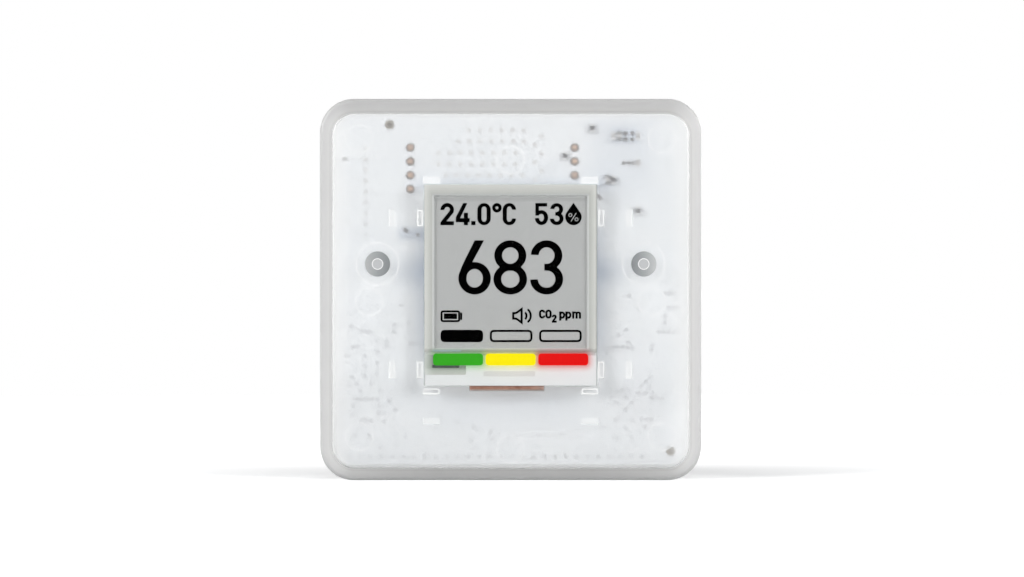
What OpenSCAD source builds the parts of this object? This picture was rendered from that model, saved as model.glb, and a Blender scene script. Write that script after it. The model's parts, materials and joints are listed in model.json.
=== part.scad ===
// Carbon dioxide monitor: a small desk and wall instrument with an e-paper readout
// behind a frosted cover. Every sub-part is drawn with the instrument lying on its back:
// x to the right, y up the face, z from the back face towards the front. stand() sets it
// upright, with the front towards -Y and the origin at the middle of its footprint.

/* [Case] */
// Width of the case
case_w = 70; // [68:1:90]
// Height of the case
case_h = 70; // [69:1:90]
// Corner radius seen from the front
corner_r = 6.2; // [5:0.1:9]
// Thickness of the side walls
wall = 2; // [1.8:0.1:2.6]
// Thickness of the front wall
front_wall = 1.8; // [1.2:0.1:3]
// Thickness of the rear wall
rear_wall = 1.8; // [1.4:0.1:2.4]
// Rounding of the outer edges
edge_r = 0.8; // [0.3:0.1:1.4]
// Rounding inside the front cover
inner_edge_r = 1; // [0.4:0.1:1.6]
// Depth of the front cover
cover_depth = 9.2; // [7.5:0.1:10]
// Shadow gap between the two shells
seam_gap = 0.4; // [0.2:0.1:0.8]
// Height of the lip inside the seam
lip_h = 1.5; // [1:0.1:2.2]
// Thickness of the lip
lip_t = 0.9; // [0.7:0.1:1]
// Gap between parts that fit into each other
fit_gap = 0.15; // [0.1:0.05:0.25]
// Gap between parts that rest on each other
seat_gap = 0.05; // [0.03:0.01:0.1]

/* [Battery bay] */
// Diameter of one AA cell
cell_d = 14.2; // [13.6:0.1:14.8]
// Length of one AA cell over its nub
cell_len = 50.2; // [49.2:0.1:50.8]
// Gap between the two cells
cell_gap = 0.6; // [0.3:0.1:1.5]
// Thickness of the printed sleeve on a cell
sleeve_t = 0.2; // [0.1:0.05:0.4]
// Diameter of the positive nub
nub_d = 5.4; // [4.5:0.1:5.6]
// Height of the positive nub
nub_h = 1.2; // [1:0.1:1.8]
// Gap between the cells and the bay
bay_clear = 0.3; // [0.2:0.1:0.6]
// Height of the bay above the bottom of the case
bay_bottom = 5.2; // [4.8:0.1:5.6]
// Thickness of the bay walls
tray_wall = 1; // [0.8:0.1:1.4]
// Thickness of the bay floor
tray_floor = 0.8; // [0.6:0.1:1.2]

/* [Contacts] */
// Thickness of the contact plates
contact_t = 0.3; // [0.2:0.05:0.5]
// Width of the contact plates
contact_w = 9; // [7:0.5:11]
// Width of the solder tails
tail_w = 1.6; // [1:0.1:2.4]
// Length of the coil springs in use
spring_len = 4.2; // [4:0.1:5]
// Diameter of the spring wire
spring_wire = 0.6; // [0.4:0.05:0.65]
// Outer diameter of the spring at its foot
spring_foot_d = 8.4; // [7.6:0.1:8.8]
// Outer diameter of the spring at its tip
spring_tip_d = 5; // [4:0.1:5.6]
// Turns of the spring
spring_turns = 3.25; // [2.25:0.25:3.25]

/* [Battery door] */
// Thickness of the door
door_t = 1.6; // [1.4:0.1:2.2]
// Gap around the door
door_gap = 0.2; // [0.15:0.05:0.4]
// Overlap of the door beyond the bay
door_margin = 1.2; // [0.8:0.1:1.6]
// Corner radius of the door
door_corner_r = 2.5; // [1:0.1:4]
// Radius of the round top edge of the door
hinge_r = 1.2; // [1:0.05:1.4]
// Diameter of the hinge pins
hinge_pin_d = 1.2; // [0.9:0.1:1.4]
// Length of the hinge pins
hinge_pin_len = 1.6; // [1:0.1:2]
// Thickness of the deck under the door
deck_t = 1.8; // [1.5:0.1:2.2]
// Width of the solid frame around the door
frame_w = 2.4; // [2.2:0.1:2.6]
// Radius of the finger notch below the door
notch_r = 4; // [3:0.1:5]
// Depth of the finger notch
notch_depth = 1.1; // [0.6:0.1:1.3]

/* [Screws] */
// Distance of each case screw from the middle
boss_x = 24.45; // [23:0.05:27]
// Gap between the bay and the screw columns
column_gap = 0.3; // [0.1:0.1:0.8]
// Diameter of the screw columns
column_d = 7.2; // [6.8:0.1:7.6]
// Diameter of the screw bosses
boss_d = 4.6; // [4:0.1:5]
// Diameter of the raised pad around each boss
boss_pad_d = 8; // [6:0.1:9]
// Diameter of the pilot hole
pilot_d = 2.2; // [1.8:0.1:2.6]
// Diameter of the screw head
screw_head_d = 4.4; // [3.8:0.1:4.8]
// Height of the screw head
screw_head_h = 1.6; // [1.2:0.1:2.2]
// Plastic between the screw head and the boss
screw_seat_t = 2; // [1.4:0.1:2.6]
// How far the bosses reach into the columns
boss_reach = 1.5; // [0.8:0.1:2]

/* [Board] */
// Thickness of the main board
board_t = 1.6; // [1:0.1:2]
// Gap between the board and the side walls
board_edge_gap = 0.5; // [0.3:0.1:1]
// Gap between the bay floor and the board
board_clear = 0.2; // [0.1:0.05:0.5]
// Corner radius of the board
board_r = 3.7; // [2:0.1:5]
// Diameter of the corner posts under the board
post_d = 3.4; // [2.6:0.1:3.8]

/* [Display] */
// Width of the e-paper panel
panel_w = 31.8; // [29:0.1:34]
// Height of the e-paper panel
panel_h = 37.3; // [36:0.1:39]
// Height of the panel's lower edge above the bottom of the case
panel_y = 17.05; // [15:0.05:18]
// Lift of the carrier plate above the board
carrier_lift = 1.15; // [1.1:0.05:1.6]
// Thickness of the carrier plate
carrier_t = 0.85; // [0.6:0.05:1.4]
// Thickness of the panel glass
glass_t = 0.5; // [0.4:0.05:0.8]
// Thickness of the e-paper film
film_t = 0.3; // [0.2:0.05:0.5]
// Thickness of the gasket in front of the film
gasket_t = 0.35; // [0.2:0.05:0.8]
// Width of the display window
window_w = 28.2; // [26:0.1:28.4]
// Height of the display window
window_h = 28.1; // [26:0.1:29]
// Height of the ledge below the window
ledge_h = 7.15; // [6.8:0.05:7.4]
// Gap between the panel and the ribs around it
rib_gap = 0.15; // [0.1:0.05:0.3]
// Thickness of the ribs around the panel
rib_t = 1.2; // [0.8:0.1:1.6]
// Length of the ribs
rib_len = 3.1; // [2:0.1:4]
// Depth of the ribs next to the panel
rib_depth = 1.9; // [1.2:0.1:2.4]
// Distance of the outer ribs from the middle
outer_rib_x = 21.75; // [20.5:0.05:23]
// Distance of the lower side ribs from the panel's lower edge
rib_low = 3.2; // [2.5:0.1:6]
// Distance of the upper side ribs from the panel's upper edge
rib_high = 6.2; // [4:0.1:8]
// Distance of the press ribs below the panel
press_rib_drop = 6.2; // [5:0.1:8]
// Width of a colour bar printed on the cover
bar_w = 9.2; // [7:0.1:10]
// Height of a colour bar
bar_h = 2.2; // [1.5:0.1:3]
// Gap between the colour bars
bar_gap = 0.45; // [0.3:0.05:1]
// Height of the colour bars above the panel's lower edge
bar_rise = 5.15; // [4:0.05:6]
// Depth of the print recesses
print_depth = 0.05; // [0.03:0.01:0.1]
// Width of the flex strip
flex_w = 13.7; // [10:0.1:16]
// Sideways offset of the flex strip
flex_x = -0.7; // [-2:0.1:2]
// Thickness of the flex strip
flex_t = 0.15; // [0.1:0.01:0.2]
// How far the fold of the flex strip stands out below the panel
flex_reach = 0.65; // [0.5:0.05:1]
// Radius of the corners of the fold
flex_fold_r = 0.5; // [0.3:0.05:0.6]
// Depth of the connector of the flex strip
connector_d = 4.2; // [3:0.1:5]
// Length of the driver chip
driver_len = 9.4; // [7:0.1:11]
// Width of the driver chip
driver_w = 0.9; // [0.6:0.1:1.2]

/* [Gas sensor] */
// Width of the gas sensor
sensor_w = 33.9; // [33:0.1:36]
// Height of the gas sensor
sensor_h = 19.8; // [17:0.1:20.4]
// Sideways position of the gas sensor
sensor_x = -3.35; // [-5:0.05:-2]
// Gap between the gas sensor and the top wall
sensor_top_gap = 0.8; // [0.5:0.1:1.4]
// Depth of the gas sensor's chamber
chamber_depth = 8.2; // [5:0.1:8.6]
// Wall of the gas sensor's chamber
chamber_wall = 1; // [0.6:0.1:1.4]
// Width of the dust filter
filter_w = 11; // [8:0.5:14]
// Height of the dust filter
filter_h = 9; // [6:0.5:12]
// Width of the infrared lamp
lamp_w = 3.5; // [2:0.1:4]
// Width of the infrared detector
detector_w = 3; // [2:0.1:4]
// Height of the lamp and the detector
optic_t = 1.1; // [0.6:0.1:2]
// Spacing of the gas sensor's pins
pin_pitch = 2.54; // [2:0.01:3]
// Diameter of the gas sensor's pins
pin_d = 0.8; // [0.5:0.05:0.9]

/* [Board parts] */
// Width of the radio chip
radio_w = 6; // [4:0.5:7]
// Height of the chips
chip_t = 0.9; // [0.5:0.1:1.5]
// Width of the memory chip
memory_w = 5; // [3:0.5:6]
// Depth of the memory chip
memory_d = 4; // [3:0.5:4.5]
// Length of the clock crystal
crystal_len = 3.2; // [2:0.1:4]
// Width of the clock crystal
crystal_w = 1.5; // [1:0.1:2]
// Length of the antenna
antenna_len = 6.5; // [4:0.5:8]
// Width of the antenna
antenna_w = 2.2; // [1:0.1:2.6]
// Width of the inductor
inductor_w = 4; // [2:0.5:5]
// Height of the inductor
inductor_t = 2; // [1:0.1:3]
// Width of the climate sensor and the pressure sensor
climate_w = 2.5; // [2:0.1:3]
// Width of the sounder
buzzer_w = 8; // [6:0.5:8.5]
// Height of the sounder
buzzer_t = 3; // [2:0.1:4]
// Length of a small resistor or capacitor
small_len = 1.6; // [1:0.1:2]
// Width of a small resistor or capacitor
small_w = 0.8; // [0.5:0.1:1]
// Spacing of the small parts
small_pitch = 1.1; // [1.1:0.1:1.4]

/* [Controls] */
// Width of a slide switch
switch_w = 8.6; // [8.2:0.1:9.2]
// Depth of a slide switch
switch_d = 3.6; // [3.4:0.1:4.2]
// Height of a slide switch
switch_h = 3.4; // [3.2:0.1:3.8]
// Travel of a slide switch
switch_travel = 2; // [1:0.1:2.4]
// Distance of the slide switches from the middle
switch_x = 10.5; // [10:0.1:11.5]
// Width of the push button's body
button_w = 6; // [5.5:0.1:6.5]
// Depth of the push button's body
button_d = 3.6; // [3.2:0.1:4.2]
// Height of the push button's body
button_h = 2.5; // [2.2:0.1:3]
// Diameter of the push button's plunger
plunger_d = 2; // [1.6:0.1:2.4]
// Travel of the push button
plunger_travel = 0.3; // [0.2:0.05:0.35]
// How far the controls stand out of their floor
control_rise = 1.2; // [0.6:0.1:2]
// Width of a slider's stem
slider_w = 1.5; // [1:0.1:1.8]
// Length of a slider's foot
slider_foot = 3.2; // [2.6:0.1:3.6]
// Depth of a slider's foot
slider_foot_d = 2.2; // [2:0.1:2.4]
// Gap around the controls
control_gap = 0.3; // [0.2:0.05:0.5]

/* [Vents and hanging slot] */
// Number of vent slots in each group
vent_count = 6; // [3:1:6]
// Width of a vent slot
vent_w = 1.5; // [1:0.1:2]
// Length of a vent slot
vent_len = 12; // [8:0.5:13]
// Spacing of the vent slots
vent_pitch = 3.2; // [2.8:0.1:3.6]
// Length of a side vent slot
side_vent_len = 5; // [3:0.1:6]
// Diameter of the hanging slot's entry
key_d = 7.6; // [6.5:0.1:8.4]
// Width of the hanging slot
key_slot_w = 4.2; // [3.2:0.1:4.6]
// Rise of the hanging slot above its entry
key_rise = 6.5; // [6:0.1:7]
// Room for a screw head behind the hanging slot
key_room = 3; // [2.4:0.1:3.4]

/* [Hidden] */
$fn = 48;

// Levels from the back face to the front face
cell_z = door_t + bay_clear + cell_d / 2;
bay_floor_z = cell_z + cell_d / 2 + bay_clear;
board_back = bay_floor_z + tray_floor + board_clear;
board_front = board_back + board_t;
carrier_z = board_front + carrier_lift;
glass_z = carrier_z + carrier_t;
film_z = glass_z + glass_t;
gasket_z = film_z + film_t;
cover_in = gasket_z + gasket_t + seat_gap;
case_d = cover_in + front_wall;
seam_z = case_d - cover_depth;

// Heights up the face
lower_y = bay_bottom + bay_clear + cell_d / 2;
upper_y = lower_y + cell_d + cell_gap;
bay_top = upper_y + cell_d / 2 + bay_clear;
strip_y0 = bay_top + tray_wall;
boss_y = strip_y0 + column_gap + column_d / 2;
column_top = boss_y + column_d / 2;
strip_y1 = strip_y0 + max(switch_d, button_d) + 2 * control_gap;
strip_y = (strip_y0 + strip_y1) / 2;
door_y0 = bay_bottom - door_margin;
door_y1 = column_top + hinge_r + 0.7;
hinge_y = door_y1 - hinge_r;
frame_top = door_y1 + door_gap + frame_w;

// Bay, from end to end
bay_len = cell_len + spring_len + 2 * contact_t + 4 * seat_gap;
bay_half = bay_len / 2;
can_len = cell_len - nub_h;
can_d = cell_d - 2 * sleeve_t - 2 * seat_gap;
cell_back_x = bay_half - contact_t - spring_len - 2 * seat_gap;
door_w = max(bay_len + 2 * door_margin, 2 * boss_x + screw_head_d + 3.6);
deck_z = door_t + fit_gap;
deck_top = max(deck_z + deck_t, 2 * hinge_r + fit_gap + 0.6);

// Screws
boss_end = board_back - boss_reach;
head_z = boss_end - 0.2 - screw_seat_t;
pilot_end = cover_in - 0.6;
screw_d = pilot_d - 0.1;
screw_tip = pilot_end - 0.4;

// Controls
switch_top = board_back - switch_h;
strip_top = switch_top - 0.2;
strip_floor = strip_top - 1;
strip_half = switch_x + switch_w / 2 + 2 * control_gap;
control_top = strip_floor - control_rise;
button_top = board_back - button_h;

// Display
panel_top = panel_y + panel_h;
window_y = panel_y + ledge_h;
window_top = window_y + window_h;
flex_low = board_front + 0.35;
flex_fold_h = film_z + flex_t - flex_low;
flex_fold_y = panel_y - flex_reach;
flex_run_y = flex_fold_y + flex_fold_r;
connector_y = panel_y + 3;
connector_w = flex_w + 2.6;
connector_h = min(1, carrier_lift - 0.1);
side_rib_ys = [panel_y + rib_low, panel_top - rib_high];
outer_rib_z = board_front + 0.1;
press_rib_y = panel_y - press_rib_drop;

// Board and gas sensor
board_w = case_w - 2 * wall - 2 * board_edge_gap;
board_h = case_h - 2 * wall - 2 * board_edge_gap;
post_x = case_w / 2 - wall - 2.4;
post_y = [wall + 2.9, case_h - wall - 2.9];
tail_x = bay_half - seat_gap - contact_t / 2;
tail_end = board_front - board_t / 3;
sensor_y = case_h - wall - sensor_top_gap - sensor_h / 2;
sensor_board_t = 1;
sensor_front = board_back - 0.8;
sensor_back = sensor_front - sensor_board_t;
chamber_w = sensor_w - 5.9;
chamber_h = sensor_h - 2.8;
chamber_z = sensor_back - chamber_depth;
pin_x = sensor_w / 2 - 1.82;
pin_hole_d = pin_d + 0.2;
right_x = sensor_x + sensor_w / 2;
left_x = sensor_x - sensor_w / 2;
edge_x = board_w / 2;
board_top = case_h - wall - board_edge_gap;
zone_y = (column_top + board_top) / 2;
chip_x = right_x + radio_w / 2 + 1.5;
rib_right = outer_rib_x + rib_t / 2 + small_pitch;
rib_left = outer_rib_x - rib_t / 2 - small_pitch;
small_x = edge_x - 6;
buzzer_y = zone_y - 0.5;
climate_y = buzzer_y - buzzer_w / 2 - climate_w / 2 - 0.8;

// Hanging slot and vents
key_y = (door_y1 + door_gap + case_h - wall - key_rise) / 2;
key_head_r = key_d / 2 + 0.8;
vent_x = key_head_r + 3.9;
vent_y = (frame_top + case_h - wall) / 2;
side_vent_z = seam_z / 2;

// Colours
frosted = [0.9, 0.92, 0.94, 0.55];
white_plastic = [0.9, 0.91, 0.91];
board_white = [0.93, 0.94, 0.94];
steel = [0.72, 0.73, 0.75];
copper = [0.75, 0.5, 0.38];
gold = [0.85, 0.68, 0.35];
chip_black = [0.1, 0.1, 0.11];
film_grey = [0.7, 0.71, 0.7];
gasket_grey = [0.78, 0.79, 0.76];

// Flat rectangle with round corners, about its middle
module rounded_rect(w, h, r) {
    square([w - 2 * r, h], center = true);
    square([w, h - 2 * r], center = true);
    for (sx = [-1, 1], sy = [-1, 1])
        translate([sx * (w / 2 - r), sy * (h / 2 - r)])
            circle(r);
}

// Half section of a disc with a round upper edge
module disc_section(r, t, e) {
    square([r - e, t]);
    square([r, t - e]);
    translate([r - e, t - e])
        intersection() {
            circle(e);
            square(e);
        }
}

// Section of a bar with two round upper edges
module bar_section(w, t, e) {
    translate([e - w / 2, 0])
        square([w - 2 * e, t]);
    translate([-w / 2, 0])
        square([w, t - e]);
    for (s = [-1, 1])
        translate([s * (w / 2 - e), t - e])
            circle(e);
}

// Plate with round corners and a round upper edge
module rounded_plate(w, h, r, t, e) {
    for (sx = [-1, 1], sy = [-1, 1])
        translate([sx * (w / 2 - r), sy * (h / 2 - r), 0])
            rotate_extrude()
                disc_section(r, t, e);
    rotate([90, 0, 90])
        translate([0, 0, r - w / 2])
            linear_extrude(w - 2 * r)
                bar_section(h, t, e);
    rotate([90, 0, 0])
        translate([0, 0, r - h / 2])
            linear_extrude(h - 2 * r)
                bar_section(w, t, e);
}

// Box between two corners
module block(x0, x1, y0, y1, z0, z1) {
    translate([x0, y0, z0])
        cube([x1 - x0, y1 - y0, z1 - z0]);
}

// Box about a middle point in x and y, between two levels
module pad(x, y, w, h, z0, z1) {
    block(x - w / 2, x + w / 2, y - h / 2, y + h / 2, z0, z1);
}

// Upright cylinder between two levels
module post(x, y, d, z0, z1) {
    translate([x, y, z0])
        cylinder(d = d, h = z1 - z0);
}

// Flat slot with round ends, along y
module slot_shape(w, l) {
    square([w, l - w], center = true);
    for (s = [-1, 1])
        translate([0, s * (l - w) / 2])
            circle(d = w);
}

// Outline of the door up to its hinge line, grown by g
module door_shape(g) {
    r = door_corner_r;
    w = door_w + 2 * g;
    y0 = door_y0 - g;
    translate([-w / 2, y0 + r])
        square([w, hinge_y - y0 - r]);
    translate([r - w / 2, y0])
        square([w - 2 * r, hinge_y - y0]);
    for (s = [-1, 1])
        translate([s * (w / 2 - r), y0 + r])
            circle(r);
}

// Frosted front shell with its bosses and ribs
module front_cover() {
    color(frosted)
    difference() {
        union() {
            difference() {
                translate([0, case_h / 2, seam_z + seam_gap])
                    rounded_plate(case_w, case_h, corner_r, cover_depth - seam_gap, edge_r);
                translate([0, case_h / 2, seam_z - 1])
                    rounded_plate(case_w - 2 * wall, case_h - 2 * wall, corner_r - wall,
                        cover_in - seam_z + 1, inner_edge_r);
                translate([0, case_h / 2, seam_z - 1])
                    linear_extrude(1 + lip_h + 0.2)
                        rounded_rect(case_w - 2 * (wall - lip_t) + 2 * fit_gap,
                            case_h - 2 * (wall - lip_t) + 2 * fit_gap,
                            corner_r - wall + lip_t + fit_gap);
            }
            for (s = [-1, 1]) {
                post(s * boss_x, boss_y, boss_d, boss_end, cover_in + 0.3);
                post(s * boss_x, boss_y, boss_pad_d, cover_in - 0.25, cover_in + 0.3);
                for (y = side_rib_ys) {
                    block_side(s, panel_w / 2 + rib_gap, rib_t, y, cover_in - rib_depth);
                    block_side(s, outer_rib_x - rib_t / 2, rib_t, y, outer_rib_z);
                }
                pad(s * (panel_w / 2 - rib_len / 2 + 0.2), panel_top + rib_gap + rib_t / 2,
                    rib_len, rib_t, cover_in - rib_depth, cover_in + 0.3);
                pad(s * (panel_w / 2 - rib_len / 2 + 0.2), panel_y - rib_gap - rib_t / 2,
                    rib_len, rib_t, cover_in - rib_depth, cover_in + 0.3);
                pad(s * (panel_w / 2 - rib_len / 2 + 0.2), press_rib_y,
                    rib_len, rib_t, outer_rib_z, cover_in + 0.3);
            }
        }
        for (s = [-1, 1]) {
            post(s * boss_x, boss_y, pilot_d, boss_end - 1, pilot_end);
            ejector_mark(s * (case_w / 2 - 7.2), case_h - 7.3);
            ejector_mark(s * (case_w / 2 - 7.2), 8);
            ejector_mark(s * (boss_x + 1.5), boss_y - 6.9);
        }
        ejector_mark(0, case_h - 11.2);
        ejector_mark(0, 5.7);
        for (i = [-1:1])
            translate([i * (bar_w + bar_gap), panel_y + bar_rise, case_d - print_depth])
                linear_extrude(1)
                    rounded_rect(bar_w, bar_h, bar_h / 5);
    }
}

// Rib on the inside of the cover, beside the panel
module block_side(s, x, t, y, z) {
    pad(s * (x + t / 2), y, t, rib_len, z, cover_in + 0.3);
}

// Shallow round mark left by a moulding pin
module ejector_mark(x, y) {
    post(x, y, 5.1, cover_in - 0.4, cover_in + 0.08);
}

// Rear shell with battery bay, screw columns, vents and hanging slot
module rear_shell() {
    color(white_plastic)
    difference() {
        union() {
            difference() {
                translate([0, case_h / 2, seam_z])
                    mirror([0, 0, 1])
                        rounded_plate(case_w, case_h, corner_r, seam_z, edge_r);
                translate([0, case_h / 2, rear_wall])
                    linear_extrude(seam_z)
                        rounded_rect(case_w - 2 * wall, case_h - 2 * wall, corner_r - wall);
            }
            translate([0, case_h / 2, seam_z - 0.5])
                linear_extrude(lip_h + 0.5)
                    difference() {
                        rounded_rect(case_w - 2 * (wall - lip_t), case_h - 2 * (wall - lip_t),
                            corner_r - wall + lip_t);
                        rounded_rect(case_w - 2 * wall, case_h - 2 * wall, corner_r - wall);
                    }
            intersection() {
                block(-door_w / 2 - door_gap - frame_w, door_w / 2 + door_gap + frame_w,
                    door_y0 - door_gap - frame_w, frame_top, rear_wall / 2, deck_top);
                translate([0, case_h / 2, 0])
                    linear_extrude(seam_z)
                        rounded_rect(case_w - wall, case_h - wall, corner_r - wall / 2);
            }
            block(-bay_half - tray_wall, bay_half + tray_wall, bay_bottom - tray_wall,
                bay_top + tray_wall, rear_wall / 2, bay_floor_z + tray_floor);
            block(-strip_half - tray_wall, strip_half + tray_wall, bay_top,
                strip_y1 + tray_wall, rear_wall / 2, strip_top);
            for (s = [-1, 1]) {
                post(s * boss_x, boss_y, column_d, rear_wall / 2, board_back);
                for (y = post_y)
                    post(s * post_x, y, post_d, rear_wall / 2, board_back);
            }
            translate([0, key_y + key_rise / 2, rear_wall / 2])
                linear_extrude(rear_wall / 2 + key_room + 0.8)
                    slot_shape(2 * key_head_r + 1.6, 2 * key_head_r + key_rise + 1.6);
        }
        door_opening();
        block(-bay_half, bay_half, bay_bottom, bay_top, -1, bay_floor_z);
        block(-strip_half, strip_half, strip_y0, strip_y1, -1, strip_floor);
        for (s = [-1, 1]) {
            post(s * boss_x, boss_y, screw_head_d + 0.6, -1, head_z);
            post(s * boss_x, boss_y, pilot_d + 0.4, head_z - 1, board_back);
            post(s * boss_x, boss_y, boss_d + 0.4, boss_end - 0.2, board_back + 1);
            control_window(s * switch_x);
        }
        post(0, strip_y, plunger_d + 0.8, strip_floor - 1, strip_top + 1);
        for (y = [lower_y, upper_y])
            pad(tail_x, y, contact_t + 0.4, tail_w + 0.4, bay_floor_z - 1, board_back);
        vents();
        hanging_slot();
        notch();
    }
}

// Room for the door, its round top edge and its pins
module door_opening() {
    translate([0, 0, -1])
        linear_extrude(deck_z + 1)
            door_shape(door_gap);
    block(-door_w / 2 - door_gap, door_w / 2 + door_gap, hinge_y - 1, door_y1 + door_gap, -1,
        hinge_r);
    translate([-door_w / 2 - door_gap, hinge_y, hinge_r])
        rotate([0, 90, 0])
            cylinder(r = hinge_r + door_gap, h = door_w + 2 * door_gap);
    translate([-door_w / 2 - hinge_pin_len - 0.2, hinge_y, hinge_r])
        rotate([0, 90, 0])
            cylinder(d = hinge_pin_d + 0.2, h = door_w + 2 * hinge_pin_len + 0.4);
}

// Slot in the floor for a switch slider
module control_window(x) {
    pad(x, strip_y, slider_w + switch_travel + 0.8, slider_w + 0.8, strip_floor - 1,
        strip_top + 1);
}

// Vent slots in the back and in the sides
module vents() {
    for (s = [-1, 1], i = [0:vent_count - 1])
        translate([s * (vent_x + i * vent_pitch), vent_y, -1])
            linear_extrude(rear_wall + 2)
                slot_shape(vent_w, vent_len);
    for (s = [-1, 1], i = [-1:1])
        translate([s * case_w / 2, vent_y - 4.5 + i * (side_vent_len + 1.8), side_vent_z])
            rotate([0, 90, 0])
                linear_extrude(3 * wall, center = true)
                    slot_shape(vent_w, side_vent_len);
}

// Keyhole that hangs on a wall screw
module hanging_slot() {
    post(0, key_y, key_d, -1, rear_wall + 0.1);
    block(-key_slot_w / 2, key_slot_w / 2, key_y, key_y + key_rise, -1, rear_wall + 0.1);
    post(0, key_y + key_rise, key_slot_w, -1, rear_wall + 0.1);
    translate([0, key_y + key_rise / 2, rear_wall])
        linear_extrude(key_room)
            slot_shape(2 * key_head_r, 2 * key_head_r + key_rise);
}

// Finger notch at the lower edge of the door
module notch() {
    post(0, door_y0 + notch_r - 2.2, 2 * notch_r, -1, notch_depth);
}

// Battery door that turns on two pins at its top edge
module battery_door() {
    color(white_plastic) {
        linear_extrude(door_t)
            door_shape(0);
        translate([-door_w / 2, hinge_y, hinge_r])
            rotate([0, 90, 0])
                cylinder(r = hinge_r, h = door_w);
        translate([-door_w / 2 - hinge_pin_len, hinge_y, hinge_r])
            rotate([0, 90, 0])
                cylinder(d = hinge_pin_d, h = door_w + 2 * hinge_pin_len);
    }
}

// Two screws that hold the shells together
module case_screws() {
    color(steel)
    for (s = [-1, 1])
        difference() {
            union() {
                post(s * boss_x, boss_y, screw_head_d, head_z - screw_head_h, head_z);
                post(s * boss_x, boss_y, screw_d, head_z - 0.2, screw_tip);
            }
            pad(s * boss_x, boss_y, 2.6, 0.6, head_z - screw_head_h - 1, head_z - 0.6);
            pad(s * boss_x, boss_y, 0.6, 2.6, head_z - screw_head_h - 1, head_z - 0.6);
        }
}

// Main circuit board
module main_board() {
    color(board_white)
    difference() {
        translate([0, case_h / 2, board_back])
            linear_extrude(board_t)
                rounded_rect(board_w, board_h, board_r);
        for (s = [-1, 1])
            post(s * boss_x, boss_y, boss_d + 0.6, board_back - 1, board_front + 1);
        pins(pin_hole_d, board_back - 1, board_front + 1);
        for (y = [lower_y, upper_y])
            pad(tail_x, y, contact_t + 0.4, tail_w + 0.4, board_back - 1, tail_end + seat_gap);
        post(left_x - 2, case_h - 4.65, 1.5, board_back - 1, board_front + 1);
        post(edge_x - 3, 5.2, 1.5, board_back - 1, board_front + 1);
    }
}

// Eight upright pins of the gas sensor
module pins(d, z0, z1) {
    for (s = [-1, 1], i = [-1.5:1:1.5])
        post(sensor_x + s * pin_x, sensor_y + i * pin_pitch, d, z0, z1);
}

// Moulded carrier between the board and the panel
module display_carrier() {
    color(white_plastic) {
        block(-panel_w / 2, panel_w / 2, panel_y, panel_top, carrier_z, glass_z);
        for (s = [-1, 1], y = [panel_y + 1.5, panel_top - 1.5])
            pad(s * (panel_w / 2 - 1.5), y, 3, 3, board_front, carrier_z + 0.1);
    }
}

// Glass of the e-paper panel
module epaper_glass() {
    color([0.8, 0.84, 0.84])
        block(-panel_w / 2, panel_w / 2, panel_y, panel_top, glass_z, film_z);
}

// E-paper film with its contact tab
module epaper_film() {
    color(film_grey) {
        block(-window_w / 2 - 0.8, window_w / 2 + 0.8, window_y - 0.7, window_top + 0.8,
            film_z, gasket_z);
        block(-window_w / 2, -window_w / 2 + 5.5, window_y - 3.6, window_y,
            film_z, gasket_z);
    }
}

// Soft frame between the panel and the cover
module display_gasket() {
    color(gasket_grey)
    difference() {
        block(-panel_w / 2 + 0.1, panel_w / 2 - 0.1, window_y - 0.7, panel_top - 0.1,
            gasket_z, gasket_z + gasket_t);
        block(-window_w / 2, window_w / 2, window_y, window_top, gasket_z - 1,
            gasket_z + gasket_t + 1);
    }
}

// White tape over the ledge of the panel
module ledge_tape() {
    color([0.92, 0.92, 0.91])
        block(-panel_w / 2 + 0.2, panel_w / 2 - 0.2, panel_y + 0.3, window_y - 0.8,
            gasket_z, gasket_z + 0.1);
}

// Driver chip on the ledge of the panel
module driver_chip() {
    color([0.45, 0.46, 0.47])
        pad(-0.3, panel_y + 1.9, driver_len, driver_w, film_z, gasket_z);
}

// Flex strip from the panel round to its connector
module display_flex() {
    color(copper)
    translate([flex_x, 0, 0])
        rotate([90, 0, 90])
            linear_extrude(flex_w, center = true) {
                difference() {
                    translate([flex_fold_y + 2 * flex_fold_r, flex_low + flex_fold_h / 2])
                        rounded_rect(4 * flex_fold_r, flex_fold_h, flex_fold_r);
                    translate([flex_fold_y + 2 * flex_fold_r, flex_low + flex_fold_h / 2])
                        rounded_rect(4 * flex_fold_r - 2 * flex_t, flex_fold_h - 2 * flex_t,
                            flex_fold_r - flex_t);
                    translate([flex_run_y, flex_low - 1])
                        square([4 * flex_fold_r, flex_fold_h + 2]);
                }
                translate([flex_run_y, film_z])
                    square([panel_y + 1.2 - flex_run_y, flex_t]);
                translate([flex_run_y, flex_low])
                    square([connector_y + 2 - flex_run_y, flex_t]);
            }
}

// Connector that grips the flex strip
module flex_connector() {
    color([0.88, 0.86, 0.8])
    difference() {
        block(flex_x - connector_w / 2, flex_x + connector_w / 2, connector_y,
            connector_y + connector_d, board_front, board_front + connector_h);
        block(flex_x - flex_w / 2 - 0.1, flex_x + flex_w / 2 + 0.1, connector_y - 1,
            connector_y + 2.1, flex_low - seat_gap, flex_low + flex_t + seat_gap);
    }
}

// Part soldered to the back of the board
module back_part(x, y, w, h, t) {
    pad(x, y, w, h, board_back - t, board_back);
}

// Part soldered to the front of the board
module front_part(x, y, w, h, t) {
    pad(x, y, w, h, board_front, board_front + t);
}

// Radio chip
module bluetooth_chip() {
    color(chip_black)
        back_part(chip_x, zone_y + radio_w / 2 - 0.4, radio_w, radio_w, chip_t);
}

// Memory chip
module memory_chip() {
    color(chip_black)
        back_part(chip_x, zone_y - memory_d / 2 - crystal_w - 1.7, memory_w, memory_d, chip_t);
}

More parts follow.
